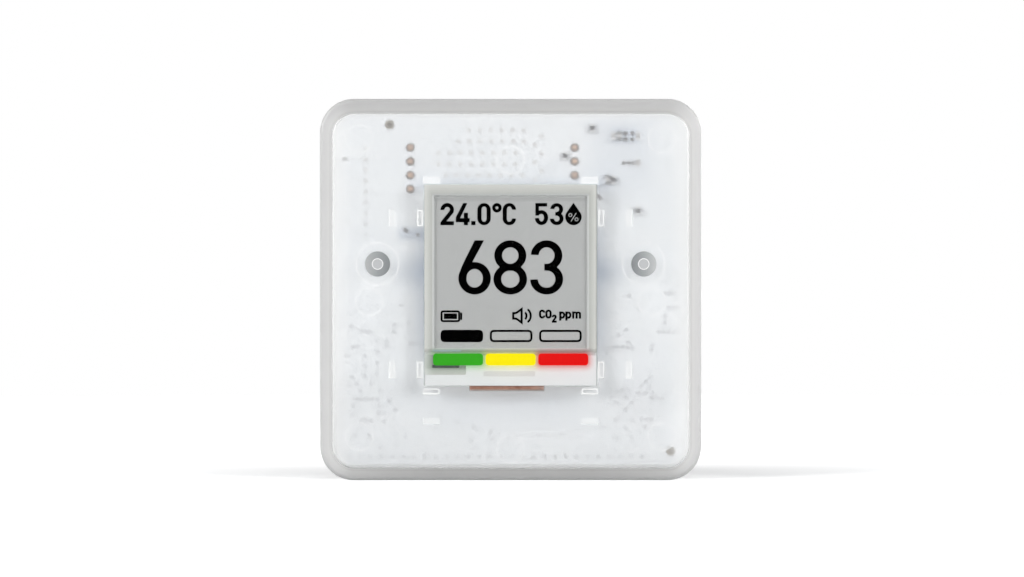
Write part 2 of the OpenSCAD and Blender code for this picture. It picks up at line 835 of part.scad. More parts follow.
// Clock crystal
module clock_crystal() {
    color(steel)
        back_part(chip_x, zone_y - crystal_w / 2 - 1.1, crystal_len, crystal_w, chip_t);
}

// Chip antenna at the right edge
module antenna() {
    color(board_white)
        back_part(edge_x - antenna_w / 2 - 0.9, zone_y, antenna_w, antenna_len, chip_t);
}

// Inductor of the voltage converter
module power_inductor() {
    color([0.25, 0.25, 0.26])
        back_part(small_x, zone_y - inductor_w / 2 - 3.2, inductor_w, inductor_w, inductor_t);
}

// Temperature and humidity sensor
module climate_sensor() {
    x = climate_w / 2 + 0.9 - edge_x;
    color(chip_black)
    difference() {
        back_part(x, climate_y, climate_w, climate_w, chip_t);
        post(x, climate_y, climate_w / 2.5, board_back - 2 * chip_t, board_back - chip_t / 2);
    }
}

// Air pressure sensor
module pressure_sensor() {
    x = left_x - climate_w / 2 - 2;
    color(steel)
    difference() {
        back_part(x, climate_y, climate_w, 0.8 * climate_w, chip_t);
        post(x - climate_w / 4, climate_y, climate_w / 6, board_back - 2 * chip_t,
            board_back - chip_t / 2);
    }
}

// Sounder
module buzzer() {
    x = (left_x - edge_x) / 2;
    color(chip_black)
    difference() {
        back_part(x, buzzer_y, buzzer_w, buzzer_w, buzzer_t);
        post(x, buzzer_y, buzzer_w / 4, board_back - 2 * buzzer_t, board_back - buzzer_t / 2);
    }
}

// Small part that stands on end on the front of the board
module front_small(x, y, t) {
    front_part(x, y, small_w, small_len, t);
}

// Small part that lies across on the back of the board
module back_small(row, t) {
    back_part(small_x, zone_y + (row - 0.5) * small_pitch, small_len, small_w, t);
}

// Capacitors on both faces of the board
module capacitors() {
    color([0.62, 0.52, 0.42]) {
        front_small(rib_left - small_pitch, board_top - 4.2, small_w);
        front_small(rib_left, board_top - 4.2, small_w);
        front_small(rib_right, board_top - 4.2, small_w);
        front_small(rib_right, board_top - 9.2, small_w);
        front_small(rib_left - 2 * small_pitch, board_top - 12.3, small_w);
        for (row = [0:2:4])
            back_small(row, small_w);
    }
}

// Resistors on both faces of the board
module resistors() {
    color([0.2, 0.2, 0.21]) {
        front_small(rib_left - 5, board_top - 2.8, small_w / 1.6);
        front_small(rib_left - small_pitch, board_top - 12.3, small_w / 1.6);
        front_small(rib_left - 10, board_top - 7.9, small_w / 1.6);
        front_small(rib_right, boss_y + 9.8, small_w / 1.6);
        for (row = [1:2:5])
            back_small(row, small_w / 1.6);
    }
}

// Housing of a slide switch
module switch_body(x) {
    difference() {
        pad(x, strip_y, switch_w, switch_d, switch_top, board_back);
        pad(x, strip_y, slider_foot + switch_travel + 0.4, slider_foot_d + 0.2,
            switch_top + 0.8, switch_top + 2.2);
        pad(x, strip_y, slider_w + switch_travel + 0.4, slider_w + 0.2, switch_top - 1,
            switch_top + 1);
    }
}

// Slider of a slide switch, at the left end of its travel
module switch_slider(x) {
    pad(x - switch_travel / 2, strip_y, slider_foot, slider_foot_d, switch_top + 0.9,
        switch_top + 2.1);
    pad(x - switch_travel / 2, strip_y, slider_w, slider_w, control_top, switch_top + 1);
}

// Switch for the calibration mode
module calibration_switch_body() {
    color(steel)
        switch_body(-switch_x);
}

// Slider of the calibration switch
module calibration_switch_slider() {
    color(chip_black)
        switch_slider(-switch_x);
}

// Switch for the sounder
module buzzer_switch_body() {
    color(steel)
        switch_body(switch_x);
}

// Slider of the sounder switch
module buzzer_switch_slider() {
    color(chip_black)
        switch_slider(switch_x);
}

// Body of the push button
module calibrate_button_body() {
    color(steel)
    difference() {
        pad(0, strip_y, button_w, button_d, button_top, board_back);
        post(0, strip_y, plunger_d + 0.2, button_top - 1, button_top + 1.5);
    }
}

// Plunger of the push button
module calibrate_button_plunger() {
    color(chip_black)
        post(0, strip_y, plunger_d, control_top, button_top + 1.5 - plunger_travel - 0.1);
}

// Board of the gas sensor
module co2_sensor_board() {
    color([0.1, 0.3, 0.18])
    difference() {
        pad(sensor_x, sensor_y, sensor_w, sensor_h, sensor_back, sensor_front);
        pins(pin_hole_d, sensor_back - 1, sensor_front + 1);
    }
}

// Gilded measuring chamber of the gas sensor
module co2_sensor_chamber() {
    color(gold)
    difference() {
        pad(sensor_x, sensor_y, chamber_w, chamber_h, chamber_z, sensor_back);
        pad(sensor_x, sensor_y, chamber_w - 2 * chamber_wall, chamber_h - 2 * chamber_wall,
            chamber_z + chamber_wall, sensor_back + 1);
        pad(sensor_x, sensor_y, filter_w - 2, filter_h - 2, chamber_z - 1,
            chamber_z + chamber_wall + 1);
    }
}

// Infrared lamp of the gas sensor
module co2_sensor_lamp() {
    color([0.85, 0.85, 0.8])
        pad(sensor_x - chamber_w / 2 + chamber_wall + lamp_w, sensor_y, lamp_w, 0.8 * lamp_w,
            sensor_back - optic_t, sensor_back);
}

// Infrared detector of the gas sensor
module co2_sensor_detector() {
    color(chip_black)
        pad(sensor_x + chamber_w / 2 - chamber_wall - lamp_w, sensor_y, detector_w, detector_w,
            sensor_back - optic_t, sensor_back);
}

// Dust filter over the opening of the chamber
module co2_sensor_filter() {
    color([0.95, 0.95, 0.93])
        pad(sensor_x, sensor_y, filter_w, filter_h, chamber_z - 0.3, chamber_z);
}

// Pins between the gas sensor and the main board
module co2_sensor_pins() {
    color(gold)
        pins(pin_d, sensor_back - 0.4, board_front);
}

// One cell lying along x with its positive end to the right
module cell_can() {
    rotate([0, 90, 0]) {
        translate([0, 0, -cell_back_x])
            cylinder(d = can_d, h = can_len);
        translate([0, 0, can_len - cell_back_x - 0.2])
            cylinder(d = nub_d, h = nub_h + 0.2);
    }
}

// Printed sleeve of one cell
module cell_sleeve() {
    translate([0.2 - cell_back_x, 0, 0])
        rotate([0, 90, 0])
            linear_extrude(can_len - 0.4)
                difference() {
                    circle(d = cell_d);
                    circle(d = cell_d - 2 * sleeve_t);
                }
}

// Upper cell, positive end to the right
module upper_battery() {
    color(steel)
        translate([0, upper_y, cell_z])
            cell_can();
}

// Sleeve of the upper cell
module upper_battery_sleeve() {
    color([0.16, 0.32, 0.42])
        translate([0, upper_y, cell_z])
            cell_sleeve();
}

// Lower cell, positive end to the left
module lower_battery() {
    color(steel)
        translate([0, lower_y, cell_z])
            rotate([0, 0, 180])
                cell_can();
}

// Sleeve of the lower cell
module lower_battery_sleeve() {
    color([0.16, 0.32, 0.42])
        translate([0, lower_y, cell_z])
            rotate([0, 0, 180])
                cell_sleeve();
}

// Contact plate at the right end with its solder tail
module end_contact(y) {
    block(bay_half - seat_gap - contact_t, bay_half - seat_gap, y - contact_w / 2,
        y + contact_w / 2, cell_z - contact_w / 2, cell_z + contact_w / 2);
    block(bay_half - seat_gap - contact_t, bay_half - seat_gap, y - tail_w / 2,
        y + tail_w / 2, cell_z, tail_end);
}

// Contact for the nub of the upper cell
module positive_contact() {
    color(steel)
        end_contact(upper_y);
}

// Contact under the spring of the lower cell
module negative_contact() {
    color(steel)
        end_contact(lower_y);
}

// Contact that joins both cells at the left end
module bridge_contact() {
    color(steel)
        block(seat_gap - bay_half, seat_gap + contact_t - bay_half, lower_y - contact_w / 2,
            upper_y + contact_w / 2, cell_z - contact_w / 2, cell_z + contact_w / 2);
}

// Middle line of the coil spring and its wire
coil_rings = 16;
coil_sides = 8;
coil_n = round(spring_turns * coil_rings);
coil_r0 = (spring_foot_d - spring_wire) / 2;
coil_r1 = (spring_tip_d - spring_wire) / 2;
coil_rise = spring_len - spring_wire;
function coil_radius(i) = coil_r0 + (coil_r1 - coil_r0) * i / coil_n;
function coil_angle(i) = 360 * spring_turns * i / coil_n;
function coil_middle(i) = [coil_radius(i) * cos(coil_angle(i)), coil_radius(i) * sin(coil_angle(i)),
    spring_wire / 2 + coil_rise * i / coil_n];
function coil_point(i, k) = coil_middle(i) + spring_wire / 2 * (
    cos(360 * k / coil_sides) * [cos(coil_angle(i)), sin(coil_angle(i)), 0]
    + sin(360 * k / coil_sides) * [0, 0, 1]);
coil_points = [for (i = [0:coil_n], k = [0:coil_sides - 1]) coil_point(i, k)];
function coil_index(i, k) = i * coil_sides + (k % coil_sides);
coil_faces = concat(
    [for (i = [0:coil_n - 1], k = [0:coil_sides - 1])
        [coil_index(i, k), coil_index(i, k + 1), coil_index(i + 1, k)]],
    [for (i = [0:coil_n - 1], k = [0:coil_sides - 1])
        [coil_index(i, k + 1), coil_index(i + 1, k + 1), coil_index(i + 1, k)]],
    [for (k = [1:coil_sides - 2]) [0, coil_index(0, k + 1), coil_index(0, k)]],
    [for (k = [1:coil_sides - 2])
        [coil_index(coil_n, 0), coil_index(coil_n, k), coil_index(coil_n, k + 1)]]);
coil_gap = min([for (i = [0:coil_n - coil_rings])
    norm(coil_middle(i + coil_rings) - coil_middle(i))]) - spring_wire;
echo(coil_gap = coil_gap);

// Conical coil standing on its foot
module coil() {
    polyhedron(points = coil_points, faces = coil_faces, convexity = 8);
}

// Spring behind the lower cell
module negative_spring() {
    color(steel)
        translate([bay_half - seat_gap - contact_t, lower_y, cell_z])
            rotate([0, -90, 0])
                coil();
}

// Spring behind the upper cell
module bridge_spring() {
    color(steel)
        translate([seat_gap + contact_t - bay_half, upper_y, cell_z])
            rotate([0, 90, 0])
                coil();
}

// Sets the instrument upright on its lower edge
module stand() {
    translate([0, case_d / 2, 0])
        rotate([90, 0, 0])
            children();
}

stand() front_cover();
stand() rear_shell();
stand() battery_door();
stand() case_screws();
stand() main_board();
stand() display_carrier();
stand() epaper_glass();
stand() epaper_film();
stand() display_gasket();
stand() ledge_tape();
stand() driver_chip();
stand() display_flex();
stand() flex_connector();
stand() bluetooth_chip();
stand() memory_chip();
stand() clock_crystal();
stand() antenna();
stand() power_inductor();
stand() climate_sensor();
stand() pressure_sensor();
stand() buzzer();
stand() capacitors();
stand() resistors();
stand() calibration_switch_body();
stand() calibration_switch_slider();
stand() buzzer_switch_body();
stand() buzzer_switch_slider();
stand() calibrate_button_body();
stand() calibrate_button_plunger();
stand() co2_sensor_board();
stand() co2_sensor_chamber();
stand() co2_sensor_lamp();
stand() co2_sensor_detector();
stand() co2_sensor_filter();
stand() co2_sensor_pins();
stand() upper_battery();
stand() upper_battery_sleeve();
stand() lower_battery();
stand() lower_battery_sleeve();
stand() positive_contact();
stand() negative_contact();
stand() bridge_contact();
stand() negative_spring();
stand() bridge_spring();
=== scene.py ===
import json
import math

import bmesh
import bpy
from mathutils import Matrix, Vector


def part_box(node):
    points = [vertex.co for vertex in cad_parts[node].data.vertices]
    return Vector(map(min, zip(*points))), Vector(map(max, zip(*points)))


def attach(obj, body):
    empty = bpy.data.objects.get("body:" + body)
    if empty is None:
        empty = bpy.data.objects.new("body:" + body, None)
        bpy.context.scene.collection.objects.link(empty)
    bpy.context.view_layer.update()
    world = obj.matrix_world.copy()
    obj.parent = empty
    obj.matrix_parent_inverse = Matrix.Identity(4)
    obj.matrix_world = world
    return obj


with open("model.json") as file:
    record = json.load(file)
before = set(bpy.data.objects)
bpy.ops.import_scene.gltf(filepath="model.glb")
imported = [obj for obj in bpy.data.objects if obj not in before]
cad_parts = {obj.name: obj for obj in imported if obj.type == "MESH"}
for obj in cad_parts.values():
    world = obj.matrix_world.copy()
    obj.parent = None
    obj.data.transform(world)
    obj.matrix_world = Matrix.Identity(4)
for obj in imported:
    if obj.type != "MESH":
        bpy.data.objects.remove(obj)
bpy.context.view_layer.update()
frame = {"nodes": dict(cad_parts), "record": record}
nodes = frame["nodes"]

# Places and sizes are in millimetres: X across, Y deep, Z up from the floor
MM = 0.001
CASE_MID_Z = 35
RIM_MID_Z, RIM_HALF_X, RIM_HALF_Z, RIM_R = 34.76, 32.75, 32.5, 4.2
BOSS_X, BOSS_Z = 24.45, 39.7
PANEL_MID_Z, PANEL_HALF_X, PANEL_HALF_Z = 35.83, 15.9, 18.5
WINDOW_MID_Z, WINDOW_HALF_X, WINDOW_HALF_Z = 38.25, 14.1, 14.05
STRIP_X, STRIP_Z, STRIP_HALF_X, STRIP_HALF_Z = -0.7, 17.0, 6.85, 0.62
# The part of a noise that looks are spread over, and a noise that is stretched nowhere
NOISE_LOW, NOISE_HIGH = 0.3, 0.7
EVEN = (1, 1, 1)
WHITE = (1, 1, 1)


# Material building

class Field:
    """A number or colour that varies over a piece: the output of a node, with arithmetic."""

    def __init__(self, socket):
        self.socket = socket
        self.tree = socket.id_data

    def __add__(self, other):
        return calculate("ADD", self, other)

    __radd__ = __add__

    def __sub__(self, other):
        return calculate("SUBTRACT", self, other)

    def __rsub__(self, other):
        return calculate("SUBTRACT", other, self)

    def __mul__(self, other):
        return calculate("MULTIPLY", self, other)

    def __truediv__(self, other):
        return calculate("DIVIDE", self, other)

    def __pow__(self, other):
        return calculate("POWER", self, other)

    def __abs__(self):
        return calculate("ABSOLUTE", self)

    def __gt__(self, other):
        return calculate("GREATER_THAN", self, other)

    def __lt__(self, other):
        return calculate("LESS_THAN", self, other)


def put(value, socket):
    """Links a field to a socket, or sets the socket to a fixed number or colour."""
    if isinstance(value, Field):
        value.tree.links.new(value.socket, socket)
    elif isinstance(value, tuple):
        socket.default_value = (*value, 1)
    else:
        socket.default_value = value


def add_node(tree, kind):
    return tree.nodes.new("ShaderNode" + kind)


def calculate(operation, a, b=0.0):
    node = add_node(a.tree if isinstance(a, Field) else b.tree, "Math")
    node.operation = operation
    put(a, node.inputs[0])
    put(b, node.inputs[1])
    return Field(node.outputs[0])


def larger(a, b):
    return calculate("MAXIMUM", a, b)


def smaller(a, b):
    return calculate("MINIMUM", a, b)


def root(a):
    return calculate("SQRT", a)


def grey(level):
    return (level, level, level)


def place(tree, stretch=EVEN):
    where = add_node(tree, "TexCoord").outputs["Object"]
    if stretch != EVEN:
        mapping = add_node(tree, "Mapping")
        mapping.inputs["Scale"].default_value = stretch
        tree.links.new(where, mapping.inputs["Vector"])
        where = mapping.outputs["Vector"]
    return Field(where)


def parts(where):
    """The three parts of a place: along X, Y and Z."""
    split = add_node(where.tree, "SeparateXYZ")
    put(where, split.inputs[0])
    return [Field(output) for output in split.outputs]


def spread(source, low, high, to_low, to_high):
    """Carries a field from one span of numbers to another, and holds it beyond the ends."""
    node = add_node(source.tree, "MapRange")
    for index, value in enumerate((low, high, to_low, to_high), start=1):
        node.inputs[index].default_value = value
    put(source, node.inputs[0])
    return Field(node.outputs[0])


def between(source, low, high, to_low=0.0, to_high=1.0):
    """The same, with the first span in millimetres."""
    return spread(source, low * MM, high * MM, to_low, to_high)


def falling(source, low, high):
    return between(source, low, high, 1.0, 0.0)


def follow(source, to_low, to_high):
    return spread(source, NOISE_LOW, NOISE_HIGH, to_low, to_high)


def ramp(source, *stops):
    node = add_node(source.tree, "ValToRGB")
    bar = node.color_ramp
    while len(bar.elements) < len(stops):
        bar.elements.new(0.5)
    for element, (position, colour) in zip(bar.elements, stops):
        element.position = position
        element.color = (*colour, 1)
    put(source, node.inputs["Fac"])
    return Field(node.outputs["Color"])


def tinted(source, low_colour, high_colour):
    return ramp(source, (NOISE_LOW, low_colour), (NOISE_HIGH, high_colour))


def mottled(source, colour, vary):
    low, high = (tuple(min(1.0, c * factor) for c in colour) for factor in (1 - vary, 1 + vary))
    return tinted(source, low, high)


def blend(factor, a, b):
    """A field that goes from a to b, which are numbers, colours or fields."""
    node = add_node(factor.tree, "Mix")
    put(factor, node.inputs["Factor"])
    coloured = isinstance(a, tuple) or isinstance(b, tuple)
    coloured = coloured or isinstance(a, Field) and a.socket.type == "RGBA"
    node.data_type = "RGBA" if coloured else "FLOAT"
    first = 6 if coloured else 2
    put(a, node.inputs[first])
    put(b, node.inputs[first + 1])
    return Field(node.outputs[2 if coloured else 0])


def dim(colour, level, share=1.0):
    """A colour times a level, which is a number or a colour, as far as share says."""
    node = add_node(colour.tree, "Mix")
    node.data_type = "RGBA"
    node.blend_type = "MULTIPLY"
    node.inputs["Factor"].default_value = share
    put(colour, node.inputs[6])
    put(level, node.inputs[7])
    return Field(node.outputs[2])


def mix_shaders(tree, factor, first, second):
    node = add_node(tree, "MixShader")
    put(factor, node.inputs[0])
    tree.links.new(first.outputs[0], node.inputs[1])
    tree.links.new(second.outputs[0], node.inputs[2])
    return node


def beyond(tree, x, z, half_x, half_z, r):
    """How far outside a rounded rectangle in the X-Z plane a point lies."""
    across, _, upward = parts(place(tree))
    out = (abs(across - x * MM) - (half_x - r) * MM, abs(upward - z * MM) - (half_z - r) * MM)
    reach = root(larger(out[0], 0.0) ** 2.0 + larger(out[1], 0.0) ** 2.0)
    return reach + smaller(larger(*out), 0.0) - r * MM


def from_boss(x, z):
    """How far a point lies from the axis of the nearer screw boss."""
    return root((abs(x) - BOSS_X * MM) ** 2.0 + (z - BOSS_Z * MM) ** 2.0)


class Look:
    """A new material, and what its shader is fed with."""

    def __init__(self, name):
        self.name = name
        self.material = bpy.data.materials.new(name)
        self.material.use_nodes = True
        self.tree = self.material.node_tree
        self.shader = self.tree.nodes["Principled BSDF"]

    def put(self, name, value):
        put(value, self.shader.inputs[name])

    def paint(self, value):
        self.put("Base Color", value)

    def roughen(self, source, low, high):
        self.put("Roughness", follow(source, low, high))

    def places(self):
        return parts(place(self.tree))

    def noise(self, scale, detail, stretch=EVEN):
        node = add_node(self.tree, "TexNoise")
        node.inputs["Scale"].default_value = scale
        node.inputs["Detail"].default_value = detail
        put(place(self.tree, stretch), node.inputs["Vector"])
        return Field(node.outputs["Fac"])

    def colour(self):
        return Field(self.shader.inputs["Base Color"].links[0].from_socket)

    def bump(self, height, depth):
        node = add_node(self.tree, "Bump")
        node.inputs["Distance"].default_value = depth * MM
        put(height, node.inputs["Height"])
        self.put("Normal", Field(node.outputs["Normal"]))

    def let_light_through(self, tint, scattered=False):
        """Lets lamp light pass the piece, and where asked scattered light too, as thin plastic does."""
        path = add_node(self.tree, "LightPath")
        passes = Field(path.outputs["Is Shadow Ray"])
        if scattered:
            passes = larger(passes, Field(path.outputs["Diffuse Depth"]) > 0.5)
        clear = add_node(self.tree, "BsdfTransparent")
        put(tint, clear.inputs["Color"])
        self.show(mix_shaders(self.tree, passes, self.shader, clear))
        return self

    def show(self, shader):
        self.tree.links.new(shader.outputs[0], self.tree.nodes["Material Output"].inputs["Surface"])


def plastic(name, colour, rough=(0.45, 0.6), grain=3500, depth=0.02, vary=0.04, specular=0.4):
    look = Look(name)
    fine = look.noise(grain, 2)
    look.paint(mottled(look.noise(160, 4), colour, vary))
    look.roughen(fine, *rough)
    look.put("Specular IOR Level", specular)
    look.bump(fine, depth)
    return look


def metal(name, colour, rough=(0.22, 0.4), stretch=(40, 1, 40), scale=120, depth=0.006, vary=0.08):
    look = Look(name)
    brushed = look.noise(scale, 3, stretch)
    look.paint(mottled(look.noise(260, 4), colour, vary))
    look.roughen(brushed, *rough)
    look.put("Metallic", 1.0)
    look.bump(brushed, depth)
    return look


def ink(name, colour, tint=None, vary=0.05, specular=0.15):
    look = Look(name)
    speck = look.noise(5200, 3)
    look.paint(mottled(speck, colour, vary))
    look.roughen(speck, 0.5, 0.65)
    look.put("Specular IOR Level", specular)
    look.bump(speck, 0.002)
    return look.let_light_through(tint) if tint else look


def glint(name, strength):
    """White edge in the cover as painted light: a painted highlight that glows as faintly as strength says.
    """
    look = ink(name, grey(0.95), grey(0.97), 0.02, 0.1)
    look.put("Emission Strength", strength)
    return look


# Colour bars: name, middle, ink, tint of the light that comes through, and tint of the painted coloured
# shadow on what lies behind
BAR_Z = 22.2
BAR_HALF_X, BAR_HALF_Z, BAR_R = 4.59, 1.09, 0.6
BAR_SHADOW_REACH = 1.4
BARS = (("bar_green", -9.65, (0.04, 0.38, 0.02), (0.93, 0.96, 0.93), (0.5, 0.8, 0.46)),
        ("bar_yellow", 0.0, (0.96, 0.82, 0.006), (0.99, 0.985, 0.95), (0.96, 0.94, 0.52)),
        ("bar_red", 9.65, (0.76, 0.008, 0.0075), (0.985, 0.95, 0.95), (0.88, 0.37, 0.36)))


def with_bar_shadows(colour):
    """A colour with the painted coloured shadow that each colour bar throws on what lies behind it."""
    for _, x, _, _, shadow_tint in BARS:
        away = beyond(colour.tree, x, BAR_Z, BAR_HALF_X, BAR_HALF_Z, BAR_R)
        stops = [(position, tuple(c + (1 - c) * white for c in shadow_tint))
                 for position, white in ((0.0, 0.0), (0.22, 0.3), (0.4, 0.58), (0.65, 0.82), (1.0, 1.0))]
        colour = dim(colour, ramp(between(away, 0.0, BAR_SHADOW_REACH), *stops))
    return colour


# Adds the painted coloured shadows of the colour bars to a look
def bar_shadowed(look):
    look.paint(with_bar_shadows(look.colour()))
    return look


def frosted_cover():
    """Clear over the display and its strip, frosted elsewhere, and grey round the rim, with painted light
    and painted shade on the face, over the bosses and round the rim.
    """
    look = Look("frosted_plastic")
    tree = look.tree
    x, deep, z = look.places()
    sideways = abs(x)
    panel = beyond(tree, 0, PANEL_MID_Z, PANEL_HALF_X, PANEL_HALF_Z, 0.3)
    strip = beyond(tree, STRIP_X, STRIP_Z, STRIP_HALF_X, STRIP_HALF_Z, 0.1)
    inside = between(deep, -11.85, -11.5)
    frosted = inside * (between(panel, -0.1, 0.15) * between(strip, -0.12, 0.12))
    standing = frosted * between(deep, -9.8, -9.6)
    edge = beyond(tree, 0, RIM_MID_Z, RIM_HALF_X, RIM_HALF_Z, RIM_R)
    border = frosted * between(edge, -1.0, -0.35)
    near_edge = frosted * between(sideways, 29, 32.4)
    rim = between(edge, -0.2, 0.25)
    radius = from_boss(x, z)
    boss = inside * falling(radius, 2.25, 2.4)

    # Denser white frost below the display: painted light that hides the shade under its ledge
    painted_light_below_panel = falling(beyond(tree, 0, 16.6, 15.5, 0.9, 0.5), -0.6, 1.2)
    clear = blend(frosted, 1.0, 0.82)
    clear = blend(frosted * painted_light_below_panel, clear, 0.55)
    clear = blend(border, clear, 0.15)
    clear = blend(near_edge, clear, 0.08)
    clear = blend(standing, clear, 0.45)
    clear = blend(boss, clear, 0.05)
    clear = blend(rim, clear, between(deep, -11.3, -10.3, 0.25, 0.5))
    look.put("Transmission Weight", clear)

    colour = tinted(look.noise(60, 3), (0.955, 0.96, 0.965), (0.97, 0.975, 0.98))
    # Painted shade: a darker line just inside the rim, paler near the bottom
    colour = blend(border, colour, (0.85, 0.855, 0.86))
    # Painted light: pale, nearly opaque frost near the rim's sides, a little lighter on the left
    sides = ramp(between(x, -30, 30), (0.0, (0.94, 0.945, 0.945)), (1.0, (0.92, 0.925, 0.925)))
    colour = blend(near_edge, colour, sides)
    # Painted shade darker towards the bottom of the face, and painted light at its lower right
    colour = dim(colour, between(z, 3, 22, 0.87, 1.0))
    colour = dim(colour, 1 + between(x, 28, 31, 0.0, 0.08) * falling(z, 12, 20))
    colour = blend(border * falling(z, 3.5, 6), colour, (0.95, 0.955, 0.96))
    colour = blend(standing, colour, grey(0.99))
    # Painted shade: grey over the bosses, for the bosses seen in depth through the cover
    ringed = ramp(between(radius, 0.0, 2.5), (0.0, (0.57, 0.58, 0.59)), (1.0, (0.55, 0.56, 0.57)))
    colour = blend(boss, colour, ringed)

    # Rim: grey bands that paint a highlight stripe and a darker line, and painted shade (drop) that darkens
    # its top and bottom
    painted_rim_bands = ramp(between(edge, -0.2, 2.3),
                  (0.0, grey(0.84)), (0.16, (0.66, 0.66, 0.655)), (0.35, (0.74, 0.74, 0.735)),
                  (0.6, grey(0.7)), (1.0, grey(0.66)))
    height = z - CASE_MID_Z * MM
    share = larger(abs(height) - 28.55 * MM, 0.0) / (edge + RIM_R * MM)
    upright = share ** between(height, -1, 1, 6.0, 3.0)
    low_rim_shade = between(sideways, 13, 28, 0.36, 0.24) * between(z, 0.2, 0.8, 0.5, 1.0)
    drop = blend(between(height, -1, 1), low_rim_shade, 0.34)
    drop = drop * between(deep, -11.3, -9.8, 1.0, 0.2)
    look.paint(blend(rim, colour, dim(painted_rim_bands, 1 - upright * drop)))

    frost = follow(look.noise(2600, 2), 0.25, 0.28)
    polish = follow(look.noise(90, 3), 0.035, 0.07)
    look.put("Roughness", blend(rim, frost * frosted + polish, 0.42))
    look.put("IOR", 1.45)
    return look.let_light_through((0.985, 0.99, 0.99), scattered=True)


def screw_steel():
    """Steel with painted shade in the recess at the rear of each head."""
    look = metal("screw_steel", (0.55, 0.56, 0.58), (0.25, 0.42), EVEN, 2500)
    x, deep, z = look.places()
    # Painted shade in the recess, as lamp light passes through the screws
    painted_recess_shade = falling(deep, -0.5, -0.13) * (deep > -1.25 * MM) * (from_boss(x, z) < 1.36 * MM)
    look.paint(blend(painted_recess_shade, look.colour(), (0.05, 0.05, 0.055)))
    return look.let_light_through(grey(0.9))


def boss_core():
    """Dull grey of painted shade for a boss seen in depth, darkest towards the display, with painted light
    towards the sides and on the right.
    """
    look = Look("boss_core")
    x, _, _ = look.places()
    # Painted shade towards the display, and painted light towards the outer side and on the right
    dull = ramp(between(abs(x), 22.3, 26.6),
                (0.0, (0.27, 0.285, 0.295)), (0.5, (0.36, 0.375, 0.385)), (1.0, (0.49, 0.5, 0.505)))
    look.paint(dim(dull, between(x, 22.3, 26.6, 1.0, 1.17)))
    look.roughen(look.noise(2600, 3), 0.5, 0.65)
    look.put("Specular IOR Level", 0.1)
    return look.let_light_through(grey(0.97))


def via_mask():
    look = Look("via_mask")
    _, _, z = look.places()
    fine = look.noise(3000, 2)
    look.paint(ramp(between(z, 44, 54), (0.0, (0.64, 0.65, 0.67)), (1.0, (0.66, 0.645, 0.635))))
    look.roughen(fine, 0.3, 0.45)
    look.bump(fine, 0.01)
    return look


def white_board():
    """White mask over faint traces, with painted shade round the display and among the small parts, a
    darker patch round the pads at the left, and painted light farther out beside the display.
    """
    look = Look("board_white")
    tree = look.tree
    traces = add_node(tree, "TexBrick")
    for name, value in (("Scale", 1.0), ("Mortar Size", 0.00012), ("Mortar Smooth", 0.3),
                        ("Brick Width", 0.0085), ("Row Height", 0.0031), ("Color1", (0.87, 0.885, 0.9)),
                        ("Color2", (0.85, 0.87, 0.89)), ("Mortar", (0.82, 0.84, 0.86))):
        put(value, traces.inputs[name])
    turned = add_node(tree, "Mapping")
    turned.inputs["Rotation"].default_value = (math.radians(90), 0, 0)
    put(place(tree), turned.inputs["Vector"])
    tree.links.new(turned.outputs["Vector"], traces.inputs["Vector"])
    cloud = tinted(look.noise(120, 4), (0.97, 0.97, 0.98), WHITE)
    mask = dim(Field(traces.outputs["Color"]), cloud, 0.6)

    x, _, z = look.places()
    sideways = abs(x)
    level = abs(z - 34.5 * MM)
    # Painted shade beside, below and above the display, in a band across its sides, and among the small
    # parts at the upper right; behind_pads is a darker patch round the pads at the left
    beside = between(sideways, 15.9, 18.7, 0.52, 0.0) * falling(level, 9, 14.5)
    below = between(z, 8, 16, 0.0, 0.19) * falling(sideways, 9, 19) * (z < 17.3 * MM)
    above = between(z, 54.6, 55.7, 0.22, 0.0) + between(z, 55.0, 59.5, 0.18, 0.0)
    above = above * falling(sideways, 16, 20) * between(z, 52, 54)
    patch = between(abs(z - 38.2 * MM), 0.4, 4.2, 0.5, 0.0) * falling(sideways, 18, 22.5)
    behind_pads = between(beyond(tree, -18.2, 45.2, 2.2, 0.8, 0.5), -0.5, 1.0, 0.6, 0.0)
    behind_parts = between(beyond(tree, 20.5, 59.5, 4.5, 6.0, 1.0), -1.0, 3.0, 0.2, 0.0)
    behind_cluster = between(beyond(tree, 21.0, 63.3, 2.3, 1.0, 0.5), -0.3, 1.0, 0.4, 0.0)
    dark = patch + larger(beside, below) + behind_pads + above + behind_parts + behind_cluster
    # Painted light a little way out beside the display
    painted_light = between(sideways, 16.3, 19.0, 0.0, 0.13) * falling(sideways, 20, 22.8)
    painted_light = painted_light * falling(level, 14, 18) + 1.0
    look.paint(dim(mask, dim(blend(dark, WHITE, (0.48, 0.55, 0.66)), painted_light)))
    fine = look.noise(2400, 2)
    look.roughen(fine, 0.3, 0.42)
    look.bump(fine, 0.01)
    return look


